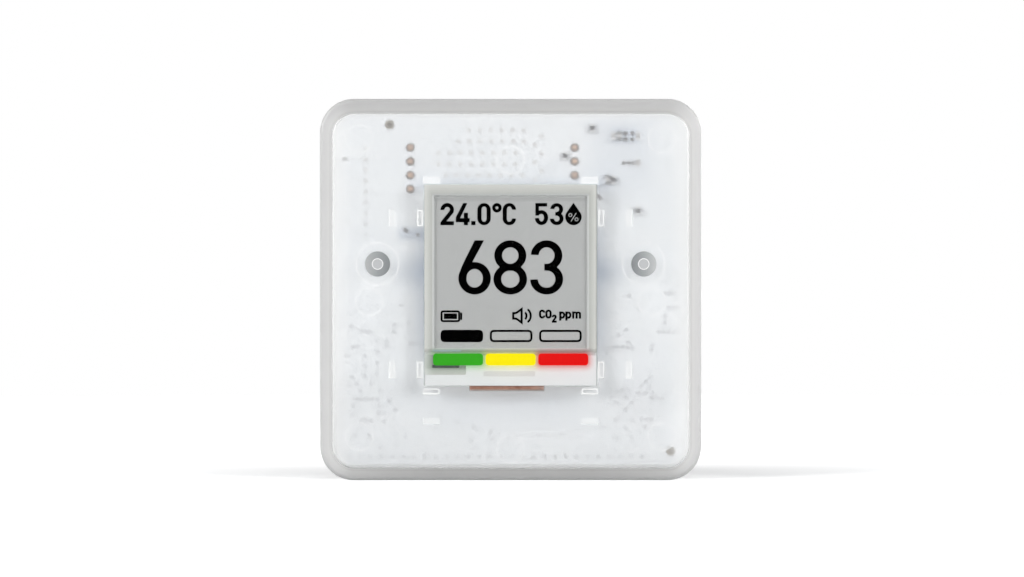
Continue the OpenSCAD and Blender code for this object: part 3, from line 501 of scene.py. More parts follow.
def gasket_foam():
    """Grey border of the display, with a painted highlight along its lip, painted shade at its top lip and
    right edge, painted light on its top inner wall and farther out, darker along its foot, and the painted
    coloured shadows of the colour bars.
    """
    look = Look("gasket_foam")
    x, _, z = look.places()
    beside = abs(x) - WINDOW_HALF_X * MM
    centred = z - WINDOW_MID_Z * MM
    lip = larger(beside, abs(centred) - WINDOW_HALF_Z * MM)
    # A painted highlight along the lip, with darker grey just outside it that pales outwards
    foam = ramp(between(lip, 0.0, 1.8), (0.0, (0.66, 0.67, 0.66)), (0.14, (0.64, 0.65, 0.64)),
                (0.2, (0.54, 0.55, 0.52)), (1.0, (0.67, 0.67, 0.64)))
    # Painted shade on the top lip and right edge, painted light on the top inner wall and farther from the
    # lip; the foot is darker
    top_lip = between(centred, 14.0, 14.06, 0.0, 0.17) * falling(lip, 0.2, 0.5)
    foot = between(centred, -14.3, -14.0, 0.8, 1.0)
    top_wall = between(centred, 14.0, 14.04, 0.0, 0.5) * falling(lip, 0.01, 0.04)
    outside = between(beside, 0.6, 1.3, 1.0, 1.1)
    right_edge = between(x, 15.6, 15.72, 1.0, 0.6)
    for level in (1 - top_lip, foot, 1 + top_wall, outside, right_edge):
        foam = dim(foam, level)
    look.paint(with_bar_shadows(foam))
    cells = look.noise(4200, 3)
    look.roughen(cells, 0.7, 0.85)
    look.put("Specular IOR Level", 0.2)
    look.bump(cells, 0.03)
    return look


def epaper():
    """Grey paper, with a painted soft shadow below the top and painted light along its top and side edges
    against the border's shade.
    """
    look = Look("epaper_film")
    x, _, z = look.places()
    speck = look.noise(7000, 3)
    cloud = look.noise(90, 3)
    paper = tinted(speck, (0.48, 0.485, 0.48), (0.53, 0.535, 0.53))
    paper = dim(paper, tinted(cloud, grey(0.97), WHITE))
    # Painted shadow below the top edge, and painted light on the edges next to the border
    painted_top_shadow = between(z, 51.05, 51.45, 1.0, 0.87)
    top = between(z, 51.85, 52.3, 0.0, 0.75) + between(z, 52.05, 52.2, 0.0, 0.28)
    sides = between(abs(x), 13.6, 14.1, 0.0, 0.32)
    look.paint(dim(paper, painted_top_shadow + larger(top, sides)))
    look.roughen(speck, 0.75, 0.85)
    look.put("Specular IOR Level", 0.2)
    look.bump(speck, 0.003)
    return look


def copper_flex():
    """Copper lines under a film, uneven, and paler along both edges and towards the right end."""
    look = Look("flex_copper")
    tree = look.tree
    x, _, z = look.places()
    wave = add_node(tree, "TexWave")
    wave.inputs["Scale"].default_value = 620
    put(place(tree), wave.inputs["Vector"])
    lines = Field(wave.outputs["Fac"])
    copper = tinted(look.noise(900, 2), (0.34, 0.155, 0.1), (0.5, 0.255, 0.18))
    copper = dim(copper, spread(lines, 0.2, 0.7, 0.86, 1.0))
    ends = larger(between(z, 17.1, 17.4, 0.0, 0.4), between(x, 3.4, 6.2, 0.0, 0.3))
    pale = larger(ends, between(z, 16.42, 16.8, 0.7, 0.0))
    look.paint(blend(pale, copper, (0.78, 0.68, 0.63)))
    look.roughen(look.noise(900, 3), 0.25, 0.4)
    look.bump(lines, 0.01)
    return look


def battery_sleeve():
    look = Look("cell_sleeve")
    x, _, _ = look.places()
    film = look.noise(700, 4, (0.15, 1, 1))
    look.paint(ramp(between(x, -26, 26), (0.0, (0.035, 0.075, 0.1)),
                    (0.5, (0.03, 0.07, 0.095)), (1.0, (0.035, 0.075, 0.1))))
    look.roughen(film, 0.22, 0.36)
    look.put("Coat Weight", 0.3)
    look.bump(film, 0.01)
    return look


def filter_cloth():
    look = Look("filter_cloth")
    tree = look.tree
    weave = add_node(tree, "TexChecker")
    for name, value in (("Vector", place(tree)), ("Scale", 4200), ("Color1", (0.86, 0.86, 0.83)),
                        ("Color2", (0.78, 0.78, 0.75))):
        put(value, weave.inputs[name])
    look.paint(Field(weave.outputs["Color"]))
    fibres = look.noise(3000, 4)
    look.roughen(fibres, 0.85, 0.95)
    look.bump(fibres, 0.05)
    return look


def panel_glass():
    look = Look("panel_glass")
    look.paint(tinted(look.noise(150, 2), (0.8, 0.82, 0.81), (0.84, 0.86, 0.85)))
    look.roughen(look.noise(400, 2), 0.06, 0.12)
    look.put("Transmission Weight", 0.15)
    look.put("IOR", 1.5)
    return look.let_light_through((0.85, 0.9, 0.9), scattered=True)


def film_tab():
    """Film with painted shade that darkens it towards the green bar, and paler at its left end."""
    look = Look("film_tab")
    x, _, z = look.places()
    fine = look.noise(2600, 2)
    # The film's colour with the painted shade of the green bar above it
    film_and_shade = ramp(between(z, 19.3, 20.8), (0.0, (0.62, 0.62, 0.59)),
                       (0.35, (0.55, 0.57, 0.53)), (0.62, (0.47, 0.5, 0.46)),
                       (0.87, (0.29, 0.32, 0.28)), (1.0, (0.25, 0.28, 0.24)))
    left = between(x, -15.9, -14.2, 0.8, 0.0)
    look.paint(blend(left, film_and_shade, (0.82, 0.84, 0.81)))
    look.roughen(fine, 0.5, 0.65)
    look.bump(fine, 0.01)
    return look


SOFT_GREY = ((0.80, 0.81, 0.82), (0.5, 0.66), 4200, 0.03, 0.02)
capacitor = plastic("capacitor_ceramic", (0.48, 0.47, 0.46), (0.4, 0.55), 3500, 0.01, 0.1)
looks = {look.name: look for look in (
    frosted_cover(),
    plastic("case_plastic", *SOFT_GREY),
    plastic("door_plastic", *SOFT_GREY),
    screw_steel(),
    white_board(),
    plastic("carrier_plastic", (0.78, 0.78, 0.77), (0.45, 0.6), 3000),
    panel_glass(),
    epaper(),
    gasket_foam(),
    bar_shadowed(plastic("white_tape", (0.87, 0.88, 0.885), (0.6, 0.75), 2600, 0.015, 0.015, 0.25)),
    plastic("driver_silicon", (0.2, 0.2, 0.21), (0.1, 0.2), 2000, 0.003, 0.1, 0.6),
    copper_flex(),
    plastic("connector_plastic", (0.72, 0.67, 0.56), (0.4, 0.55), 2600),
    plastic("chip_black", (0.02, 0.02, 0.022), (0.42, 0.58), 3200, 0.02, 0.2),
    metal("crystal_can", (0.62, 0.62, 0.64)),
    plastic("antenna_ceramic", (0.7, 0.72, 0.75), (0.25, 0.4), 1800),
    plastic("ferrite", (0.035, 0.035, 0.038), (0.55, 0.75), 2600, 0.03, 0.2),
    metal("sensor_can", (0.64, 0.64, 0.65)),
    plastic("buzzer_plastic", (0.022, 0.022, 0.024), (0.4, 0.55), 3000, 0.02, 0.2),
    capacitor.let_light_through(grey(0.92)),
    plastic("resistor_body", (0.05, 0.05, 0.055), (0.25, 0.4), 3500, 0.01, 0.1),
    metal("switch_steel", (0.6, 0.61, 0.62), (0.25, 0.4)),
    plastic("switch_plastic", (0.018, 0.018, 0.02), (0.4, 0.55), 3600, 0.02, 0.2),
    plastic("sensor_board", (0.012, 0.1, 0.035), (0.25, 0.38), 900, 0.01, 0.12, 0.5),
    metal("gilded_plastic", (0.82, 0.6, 0.26), (0.2, 0.34), EVEN, 1500),
    plastic("lamp_package", (0.72, 0.72, 0.65), (0.35, 0.5), 2600),
    filter_cloth(),
    metal("gilded_pins", (0.82, 0.58, 0.25), (0.25, 0.4), EVEN, 1800),
    metal("cell_steel", (0.66, 0.66, 0.67), (0.2, 0.34), (1, 30, 30), 90),
    battery_sleeve(),
    metal("contact_steel", (0.68, 0.68, 0.69), (0.18, 0.32), (1, 1, 30), 110),
)}
for part in frame["record"]["subparts"]:
    nodes[part["node"]].material_slots[0].material = looks[part["material_slot"]].material


# Mesh building: outlines lie in the X-Z plane, and are given a depth along Y

def circle(x, z, r, steps=48):
    return [(x + r * math.cos(2 * math.pi * k / steps), z + r * math.sin(2 * math.pi * k / steps))
            for k in range(steps)]


def ellipse(u, v, ru, rv, start, end):
    steps = max(8, int(abs(end - start) / 6))
    angles = [math.radians(start + (end - start) * k / steps) for k in range(steps + 1)]
    return [(u + ru * math.cos(a), v + rv * math.sin(a)) for a in angles]


def rounded(u0, v0, u1, v1, r):
    corners = ((u1 - r, v1 - r, 0), (u0 + r, v1 - r, 90), (u0 + r, v0 + r, 180), (u1 - r, v0 + r, 270))
    return [(u + r * math.cos(math.radians(a + k * 15)), v + r * math.sin(math.radians(a + k * 15)))
            for u, v, a in corners for k in range(7)]


class Outline:
    """A mesh that is put together from simple forms, and then becomes one piece."""

    def __init__(self):
        self.points = []
        self.faces = []

    def polygon(self, loop, front, back):
        start = len(self.points)
        count = len(loop)
        self.points += [(x, front, z) for x, z in loop]
        self.points += [(x, back, z) for x, z in loop]
        self.faces.append([start + i for i in range(count)])
        self.faces.append([start + count + i for i in reversed(range(count))])
        for i in range(count):
            j = (i + 1) % count
            self.faces.append([start + i, start + j, start + count + j, start + count + i])

    def band(self, outer, inner, front, back, closed=True):
        start = len(self.points)
        count = len(outer)
        for loop, level in ((outer, front), (inner, front), (outer, back), (inner, back)):
            self.points += [(x, level, z) for x, z in loop]
        of, nf, ob, nb = (start + k * count for k in range(4))
        for i in range(count if closed else count - 1):
            j = (i + 1) % count
            self.faces.append([of + i, of + j, nf + j, nf + i])
            self.faces.append([ob + i, nb + i, nb + j, ob + j])
            self.faces.append([of + i, ob + i, ob + j, of + j])
            self.faces.append([nf + i, nf + j, nb + j, nb + i])
        if not closed:
            for i in (0, count - 1):
                self.faces.append([of + i, nf + i, nb + i, ob + i])

    def ring(self, x, z, outer, inner, front, back, steps=48):
        self.band(circle(x, z, outer, steps), circle(x, z, inner, steps), front, back)

    def turned(self, x, z, profile, steps=20):
        """A form turned about a line along Y: profile lists (radius, y) from the outside in."""
        start = len(self.points)
        for radius, y in profile:
            self.points += [(px, y, pz) for px, pz in circle(x, z, radius, steps)]
        for ring in range(len(profile) - 1):
            for k in range(steps):
                a = start + ring * steps + k
                b = start + ring * steps + (k + 1) % steps
                self.faces.append([a, b, b + steps, a + steps])
        self.faces.append([start + k for k in range(steps)])
        top = start + (len(profile) - 1) * steps
        self.faces.append([top + k for k in reversed(range(steps))])

    def wrapped(self, x0, x1, y, z, outer, inner, start, end, steps=8):
        """A patch wrapped round a line along X, between two angles from +Y towards +Z."""
        first = len(self.points)
        closed = end - start == 360
        count = steps if closed else steps + 1
        for k in range(count):
            a = math.radians(start + (end - start) * k / steps)
            for radius in (outer, inner):
                self.points += [(x, y + radius * math.cos(a), z + radius * math.sin(a)) for x in (x0, x1)]
        for k in range(steps):
            here = first + 4 * k
            there = first + 4 * ((k + 1) % count)
            for a, b in ((0, 1), (1, 3), (3, 2), (2, 0)):
                self.faces.append([here + a, here + b, there + b, there + a])
        if not closed:
            for row in (first, first + 4 * steps):
                self.faces.append([row, row + 1, row + 3, row + 2])

    def piece(self, name, look, body="case", smooth=False):
        mesh = bpy.data.meshes.new(name)
        mesh.from_pydata([Vector(p) * MM for p in self.points], [], self.faces)
        work = bmesh.new()
        work.from_mesh(mesh)
        bmesh.ops.recalc_face_normals(work, faces=work.faces)
        work.to_mesh(mesh)
        work.free()
        mesh.materials.append(look.material)
        if smooth:
            mesh.shade_smooth()
            mesh.set_sharp_from_angle(angle=math.radians(40))
        made = bpy.data.objects.new(name, mesh)
        bpy.context.scene.collection.objects.link(made)
        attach(made, body)
        return made


def plate(name, look, loop, front, back):
    outline = Outline()
    outline.polygon(loop, front, back)
    outline.piece(name, look)


def stroke(path, width):
    left, right = [], []
    for i, (u, v) in enumerate(path):
        before = path[max(i - 1, 0)]
        after = path[min(i + 1, len(path) - 1)]
        a = Vector((u - before[0], v - before[1]))
        b = Vector((after[0] - u, after[1] - v))
        a = a.normalized() if a.length else b.normalized()
        b = b.normalized() if b.length else a
        side = (a + b).normalized()
        reach = width / 2 / max(side.dot(a), 0.35)
        left.append((u - side.y * reach, v + side.x * reach))
        right.append((u + side.y * reach, v - side.x * reach))
    return left, right


# Readout, in dots of the display: 200 by 200 over the window, from its lower left corner
READOUT_X, READOUT_Z = -14.05, 24.2
DOT_U, DOT_V = 0.141, 0.1405
INK_SPREAD = 0.28
PERCENT_SPREAD = -0.15


def on_window(points):
    return [(READOUT_X + u * DOT_U, READOUT_Z + v * DOT_V) for u, v in points]


def swollen(points, grow):
    """A closed outline moved outwards by grow, with its corners kept."""
    after = points[1:] + points[:1]
    before = points[-1:] + points[:-1]
    turn = sum(a[0] * b[1] - b[0] * a[1] for a, b in zip(points, after))
    out = math.copysign(grow, turn * grow)
    moved = []
    for last, (u, v), following in zip(before, points, after):
        a = Vector((u - last[0], v - last[1])).normalized()
        b = Vector((following[0] - u, following[1] - v)).normalized()
        side = (a + b).normalized()
        reach = out / max(side.dot(a), 0.5)
        moved.append((u + side.y * reach, v - side.x * reach))
    return moved


def draw(outline, shapes, front, back, grow):
    """Draws shapes on the window, with every edge moved outwards by grow dots."""
    for kind, *value in shapes:
        if kind == "arc":
            u, v, ru, rv, iu, iv, start, end = value
            closed = end - start == 360
            outer = ellipse(u, v, ru + grow, rv + grow, start, end)
            inner = ellipse(u, v, iu - grow, iv - grow, start, end)
            if closed:
                outer.pop()
                inner.pop()
            outline.band(on_window(outer), on_window(inner), front, back, closed)
        elif kind == "poly":
            outline.polygon(on_window(swollen(value[0], grow)), front, back)
        elif kind == "bar":
            u0, v0, u1, v1 = value
            corners = swollen([(u0, v0), (u1, v0), (u1, v1), (u0, v1)], grow)
            outline.polygon(on_window(corners), front, back)
        elif kind == "pill":
            u0, v0, u1, v1, r = value
            loop = rounded(u0 - grow, v0 - grow, u1 + grow, v1 + grow, r + grow)
            outline.polygon(on_window(loop), front, back)
        elif kind == "frame":
            u0, v0, u1, v1, r, t = value
            outer = rounded(u0 - grow, v0 - grow, u1 + grow, v1 + grow, r + grow)
            deep = t + grow
            inner = rounded(u0 + deep, v0 + deep, u1 - deep, v1 - deep, r - deep)
            outline.band(on_window(outer), on_window(inner), front, back)
        elif kind == "line":
            points, width = value
            left, right = stroke(points, width + 2 * grow)
            outline.band(on_window(left), on_window(right), front, back, False)


def bend(first, pull, last, steps=6):
    """Points of a curve from first to last that leans towards pull."""
    points = []
    for k in range(steps + 1):
        t = k / steps
        a, b, c = (1 - t) ** 2, 2 * t * (1 - t), t ** 2
        points.append(tuple(a * first[i] + b * pull[i] + c * last[i] for i in (0, 1)))
    return points


def oval(u, low, high, outer, inner, right=True):
    """A tall 0 or O, and without its right side a C; outer and inner are radii across and up."""
    sides = [("bar", u - outer[0], low, u - inner[0], high)]
    if right:
        sides.append(("bar", u + inner[0], low, u + outer[0], high))
    return [("arc", u, high, *outer, *inner, 0, 180), *sides, ("arc", u, low, *outer, *inner, 180, 360)]


def two(u, v, outer, inner, foot):
    """A 2: a round top about (u, v), a slanting stroke and a flat foot."""
    weight = outer - inner
    slant = [(u + outer, v), (u + 0.93 * outer, v - 0.42 * outer), (u - 0.16 * outer, foot + weight),
             (u + outer, foot + weight), (u + outer, foot), (u - outer, foot),
             (u - outer, foot + 0.75 * weight), (u + 0.87 * inner, v - 0.45 * inner), (u + inner, v)]
    return [("arc", u, v, outer, outer, inner, inner, 0, 183), ("poly", slant)]


def three(u, upper, lower, half):
    """A 3: two open bowls, each its height, outer radii and inner radii, and the short bar between them."""
    height, _, reach, _, hollow = lower
    return [("arc", u, *upper, -90, 177), ("bar", u - half, height + hollow, u + half, height + reach),
            ("arc", u, *lower, -178, 90)]


def letter_p(u):
    return [("bar", u, 36.5, u + 2.2, 48), ("arc", u + 3.6, 43.5, 3.7, 4.4, 1.6, 2.3, 0, 360)]


def letter_m(u):
    arches = [("arc", u + k, 45.2, 3.2, 2.7, 1, 0.8, 0, 180) for k in (3.4, 7.8)]
    legs = [("bar", u + k, 39.2, u + k + 2.2, 45.2) for k in (4.4, 8.8)]
    return [("bar", u, 39.2, u + 2.2, 48), *arches, *legs]


def level_shapes():
    stem = [(53, 141), (64.5, 141)]
    stem += bend((48.5, 111), (42, 99), (42, 91.5))
    stem += bend((32, 91.5), (32, 99), (41, 117))
    six = [("arc", 52.7, 91.7, 20.8, 20.9, 11, 12.4, 0, 360), ("poly", stem)]
    eight = [("arc", 99.2, 121.4, 20.5, 19.6, 11, 11, 0, 360),
             ("arc", 99.2, 90.6, 21.6, 19.8, 12.2, 11.5, 0, 360)]
    return six + eight + three(146.5, (121.4, 20.2, 19.6, 10.6, 11), (90.6, 21.2, 19.8, 11.7, 11.5), 2.7)


def temperature_shapes():
    hook = [(38, 189.7), (42.4, 189.7), (42.4, 188.7), (33.4, 170),
            (46, 170), (46, 165.2), (28.5, 165.2), (28.5, 171.2)]
    four = [("poly", hook), ("bar", 39, 161.4, 43.8, 177)]
    point = [("bar", 48.6, 161.4, 53.6, 166.2)]
    degree = [("arc", 81.8, 183.8, 5.9, 5.9, 2.2, 2.2, 0, 360)]
    outer, inner = (8.4, 8.4), (3.6, 4.5)
    zero = oval(65, 169.8, 181.3, outer, inner)
    celsius = oval(98, 169.8, 181.3, outer, inner, right=False)
    return two(17, 181.3, 8.5, 3.9, 161.4) + four + point + zero + degree + celsius


def humidity_shapes():
    flag = [(132.2, 189.7), (147, 189.7), (147, 185.8), (136.2, 185.8),
            (136.2, 179), (137.4, 176), (136.2, 174), (132.2, 174)]
    five = [("poly", flag), ("arc", 139.8, 171, 8.4, 9.5, 3.5, 5.2, -175, 122)]
    drop = [("poly", [(181.5, 190), *ellipse(181.5, 171.8, 10.4, 10.4, 28, -208)])]
    return five + three(159.7, (181.9, 8.1, 7.7, 3.4, 3.7), (169.7, 8.6, 8.2, 3.9, 4.1), 1.6) + drop


def percent_shapes():
    rings = [("arc", u, v, 2.6, 2.6, 1.4, 1.4, 0, 360) for u, v in ((177.4, 174.3), (185.5, 168.7))]
    return rings + [("line", [(185, 177), (178.3, 166)], 1.2)]


def sign_shapes():
    battery = [("frame", 8.6, 34.6, 33.6, 49.4, 3, 2.1), ("bar", 13, 38.7, 29.5, 45.4),
               ("bar", 34.4, 37.6, 36.2, 46.5)]
    horn = [(107, 46.2), (103, 46.2), (103, 38.9), (107, 38.9),
            (114, 33.7), (114, 51.4), (107, 46.2), (103, 46.2)]
    speaker = [("line", horn, 2.2), ("arc", 115.4, 42.6, 5.9, 6.7, 3.8, 4.6, -52, 52),
               ("arc", 117, 42.6, 9.9, 10.9, 7.8, 8.8, -58, 58)]
    outer, inner = (3.8, 3.7), (1.6, 1.5)
    gas = oval(140.7, 43, 46.7, outer, inner, right=False) + oval(149, 43, 46.7, outer, inner)
    gas += two(156.5, 41, 2.9, 0.9, 33.9)
    unit = letter_p(163.2) + letter_p(171.2) + letter_m(180.1)
    pills = [("pill", 8.6, 8.4, 63.5, 24, 5)] + [("frame", u, 8.4, u + 55, 24, 5, 2.2) for u in (72.8, 137)]
    return battery + speaker + gas + unit + pills


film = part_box("epaper_film")[0].y / MM
black = ink("eink_black", grey(0.0004), vary=0.3, specular=0.0)
for name, shapes in (("readout_level", level_shapes), ("readout_temperature", temperature_shapes),
                     ("readout_humidity", humidity_shapes), ("readout_signs", sign_shapes)):
    outline = Outline()
    draw(outline, shapes(), film - 0.02, film + 0.005, INK_SPREAD)
    outline.piece(name, black)
outline = Outline()
draw(outline, percent_shapes(), film - 0.03, film - 0.015, PERCENT_SPREAD)
outline.piece("readout_percent", ink("eink_grey", (0.5, 0.505, 0.5)))

# Colour bars printed into the recesses of the cover
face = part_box("front_cover")[0].y / MM
for name, x, colour, tint, _ in BARS:
    loop = rounded(x - BAR_HALF_X, BAR_Z - BAR_HALF_Z, x + BAR_HALF_X, BAR_Z + BAR_HALF_Z, BAR_R)
    plate(name, ink(name, colour, tint, 0.03, 0.04), loop, face + 0.004, face + 0.044)

# Sunk in the cover at the roots of the screw bosses: dull cores of painted shade for the bosses seen in
# depth, and bright lines of painted highlight
CORE_R, CORE_LINE_R, CORE_HOLE_R = 2.28, 1.06, 0.9
CORE_Y, CORE_LINE_Y, CORE_BACK = -9.75, -9.78, -9.7
core = Outline()
line = Outline()
for x in (-BOSS_X, BOSS_X):
    core.ring(x, BOSS_Z, CORE_R, CORE_LINE_R, CORE_Y, CORE_BACK)
    line.ring(x, BOSS_Z, CORE_LINE_R, CORE_HOLE_R, CORE_LINE_Y, CORE_BACK)
core.piece("boss_cores", boss_core())
line.piece("boss_glint_rings", glint("boss_glint", 0.0))

# Painted light at the roots of the ribs, bright lines that glow a little: those above and below the display
# lie flat, those beside it stand
RIB_LONG, RIB_SHORT, RIB_R = 1.5, 0.55, 0.3
RIB_LINE, RIB_LINE_R = 0.26, 0.05
RIB_FRONT, RIB_BACK = -10.08, -10.0
line = Outline()
for side in (-1, 1):
    ribs = [(side * 14.55, z, RIB_LONG, RIB_SHORT) for z in (16.3, 55.1)]
    ribs += [(side * x, z, RIB_SHORT, RIB_LONG) for x in (16.65, 21.75) for z in (20.25, 48.15)]
    for x, z, w, h in ribs:
        inner = (x - w + RIB_LINE, z - h + RIB_LINE, x + w - RIB_LINE, z + h - RIB_LINE, RIB_LINE_R)
        line.band(rounded(x - w, z - h, x + w, z + h, RIB_R), rounded(*inner), RIB_FRONT, RIB_BACK)
line.piece("rib_lines", glint("rib_line", 0.05))

# Round marks of the moulding, which the cover has, drawn as painted light in white lines that glow a
# little, and a painted halo of light round each boss
MARK_R, MARK_HOLE_R = 2.62, 2.42
HALO_R, HALO_HOLE_R = 4.0, 3.83
MARK_FRONT, MARK_BACK = -10.25, -10.21
mark_places = [(side * x, z) for x, z in ((27.8, 62.7), (27.8, 8), (25.95, 32.8)) for side in (-1, 1)]
line = Outline()
for x, z in mark_places + [(0, 58.8), (0, 5.7)]:
    line.ring(x, z, MARK_R, MARK_HOLE_R, MARK_FRONT, MARK_BACK)
for x in (-BOSS_X, BOSS_X):
    line.ring(x, BOSS_Z, HALO_R, HALO_HOLE_R, MARK_FRONT, MARK_BACK)
line.piece("mould_marks_glowing", glint("mould_glow", 0.045))

# Details of the main board
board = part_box("main_board")[0].y / MM


def on_board(*profile):
    """A profile of (radius, height), with the heights counted from the board's front."""
    return [(radius, board - height) for radius, height in profile]


SENSOR_PIN_X = (-18.48, 11.78)
SENSOR_PIN_Z = (53.49, 56.03, 58.57, 61.11)
joints = Outline()
tips = Outline()
for x in SENSOR_PIN_X:
    for z in SENSOR_PIN_Z:
        joints.turned(x, z, on_board((0.8, -0.02), (0.8, 0.03), (0.66, 0.08), (0.4, 0.2), (0.1, 0.2)))
        tips.turned(x, z, on_board((0.42, 0.15), (0.4, 0.3), (0.26, 0.37), (0.06, 0.4)))
joints.piece("solder_joints", plastic("solder", (0.13, 0.1, 0.085), (0.5, 0.7), 1600, 0.01, 0.1, 0.3),
             smooth=True)
tips.piece("solder_tips", plastic("solder_copper", (0.62, 0.4, 0.27), (0.45, 0.6), 1600, 0.01, 0.1, 0.4),
           smooth=True)

TOOLING_HOLES = ((-22.3, 65.35), (29.5, 5.2))
HOLE_RING_R, HOLE_R = 0.85, 0.32
COLLAR_R, COLLAR_HOLE_R = 3.2, 2.34
raised = (board - 0.04, board + 0.01)
outline = Outline()
for x, z in TOOLING_HOLES:
    outline.ring(x, z, HOLE_RING_R, HOLE_R, *raised, 32)
hole_tin = plastic("hole_tin", (0.27, 0.24, 0.19), (0.4, 0.55), 2200, 0.01, 0.15)
outline.piece("hole_rings", hole_tin)

outline = Outline()
for x in (-BOSS_X, BOSS_X):
    outline.ring(x, BOSS_Z, COLLAR_R, COLLAR_HOLE_R, *raised)
outline.piece("boss_collars", looks["board_white"])

pads = [(x, z) for x in (21.15, 22.4) for z in (62.65, 63.75)] + [(x, 58.26) for x in (20.85, 21.75, 22.6)]
pads += [(-30.6, 59.0), (16.5, 51.8), (16.1, 52.2), (-19.5, 46.0), (-19.2, 45.75), (-17.1, 45.05)]
outline = Outline()
for x, z in pads:
    outline.turned(x, z, on_board((0.4, -0.01), (0.4, 0.03), (0.34, 0.05), (0.12, 0.05), (0.1, 0.02)), 14)
outline.piece("test_pads", metal("test_pad_tin", (0.25, 0.24, 0.24), (0.35, 0.5), EVEN, 1600),
              smooth=True)

# Vias: a field of rows in front of the gas sensor, a zigzag beside it, and runs all over the board
VIA_R = 0.42
VIA_STEP, VIA_ROW, VIA_END = 2.02, 2.08, 2.6
vias = []
for row, start in enumerate((-12.0, -13.3, -13.3, -9.65, -7.75)):
    count = int((VIA_END - start) / VIA_STEP) + 1
    vias += [(start + VIA_STEP * i, 56.0 + VIA_ROW * row) for i in range(count)]
vias += [(4.4 + 1.3 * (k % 2), 55.2 + 1.6 * k) for k in range(6)]
# A run is its first place, the step to the next one, and how many there are
runs = [
    (-26.7, 45.1, 0, 1.98, 9), (-29.8, 4.2, 2, 0, 28), (-27.4, 27.2, 0.85, 0, 3),
    (-29.2, 24.3, 0.9, 0, 2), (-24.6, 19.4, 0, 2.05, 4), (-26.8, 19, 0, 1.9, 3),
    (-22.9, 24.6, 0, 0.9, 2), (-21.5, 27.2, 0, 1.3, 2), (-30.4, 22.8, 1.1, 5.4, 2),
    (-31.2, 17.6, 1.4, 0, 3), (-27.7, 16.3, 3.7, 0, 2), (-28.4, 14.8, 0.95, 0, 5),
    (-22.4, 14.5, 1.2, -1.7, 2), (-29.1, 11.9, 0, 1.7, 2), (-24.3, 12.2, 0, 1.3, 2),
    (-27.5, 10.8, 0.9, 0, 3), (-28.6, 8.1, 2.5, 0, 2), (21.8, 33.9, 1.9, -2.4, 2),
    (28.4, 34.3, 0.9, 0, 3), (29.1, 31.6, 0.9, 0, 3), (28.4, 28.9, 0, 1.1, 2), (27.3, 27.2, 0.95, 0, 5),
    (17.9, 24.3, 0.9, 0, 6), (19.9, 26.6, 1.3, 0.9, 2), (26.05, 23.9, 0.1, 0.9, 2),
    (24.1, 17.1, 0.85, 0.85, 3), (19.6, 16.1, 1, 0.4, 2), (23.5, 15.9, 1.3, 0, 3),
    (18.5, 15.1, 2.7, 0, 2), (26, 15, 0.95, 0, 3), (19.6, 14.1, 2.8, 0, 2), (19.5, 11, 2.8, 0, 2),
    (24.1, 11.1, 0.9, 0, 3), (21.2, 9.4, 3.4, 0.3, 2), (19.5, 7.7, 2.8, 0, 2), (-13, 11.5, 3.1, -0.9, 5),
    (-7.4, 7.2, 4.2, 0.3, 5),
]
singles = [
    (-20.1, 32.1), (-18.8, 28.8), (-18.2, 25.1), (-29.3, 18.9), (-25.7, 17.7), (-23.4, 10.6),
    (-19.4, 7.8), (-24, 5.9), (21.7, 25.2), (25.6, 17), (21.8, 16.5), (21.2, 12.9), (16.9, 9.6),
]
vias += singles + [(x + dx * k, z + dz * k) for x, z, dx, dz, count in runs for k in range(count)]
outline = Outline()
for x, z in vias:
    outline.polygon(circle(x, z, VIA_R, 16), board - 0.012, board + 0.01)
outline.piece("board_vias", via_mask())

# End caps on the small parts, dull on the two capacitors that look dark in the photo
CAP_LENGTH, CAP_SKIN, CAP_R = 0.45, 0.02, 0.08
DULL_X = (17.85, 20.05)
FRONT_SIDE_Y = -6


def islands(node):
    """The boxes of the separate parts of a mesh."""
    work = bmesh.new()
    work.from_mesh(node.data)
    bmesh.ops.remove_doubles(work, verts=work.verts, dist=1e-7)
    left = set(work.verts)
    found = []
    while left:
        group = [left.pop()]
        for vert in group:
            for edge in vert.link_edges:
                other = edge.other_vert(vert)
                if other in left:
                    left.remove(other)
                    group.append(other)
        low = [min(v.co[k] for v in group) / MM for k in range(3)]
        high = [max(v.co[k] for v in group) / MM for k in range(3)]
        found.append((low, high))
    work.free()
    return sorted(found)


tin = plastic("terminal_tin", grey(0.66), (0.35, 0.5), 2200, 0.01, 0.12)
tin.let_light_through(grey(0.92))
dull_ends = Outline()
for name in ("capacitors", "resistors"):
    bright_ends = Outline()
    for low, high in islands(nodes[name]):
        middle = (low[0] + high[0]) / 2
        dull = name == "capacitors" and any(abs(middle - x) < 0.1 for x in DULL_X)
        x0, x1, z0, z1 = low[0] - CAP_SKIN, high[0] + CAP_SKIN, low[2] - CAP_SKIN, high[2] + CAP_SKIN
        if high[2] - low[2] > high[0] - low[0]:
            ends = ((x0, z0, x1, z0 + CAP_LENGTH), (x0, z1 - CAP_LENGTH, x1, z1))
        else:
            ends = ((x0, z0, x0 + CAP_LENGTH, z1), (x1 - CAP_LENGTH, z0, x1, z1))
        front, back = low[1], high[1]
        if front < FRONT_SIDE_Y:
            front -= CAP_SKIN
        else:
            back += CAP_SKIN
        for end in ends:
            (dull_ends if dull else bright_ends).polygon(rounded(*end, CAP_R), front, back)
    bright_ends.piece(name + "_ends", tin)
dull_tin = plastic("dull_tin", grey(0.2), (0.5, 0.65), 2200, 0.01, 0.15)
dull_ends.piece("dull_ends", dull_tin)

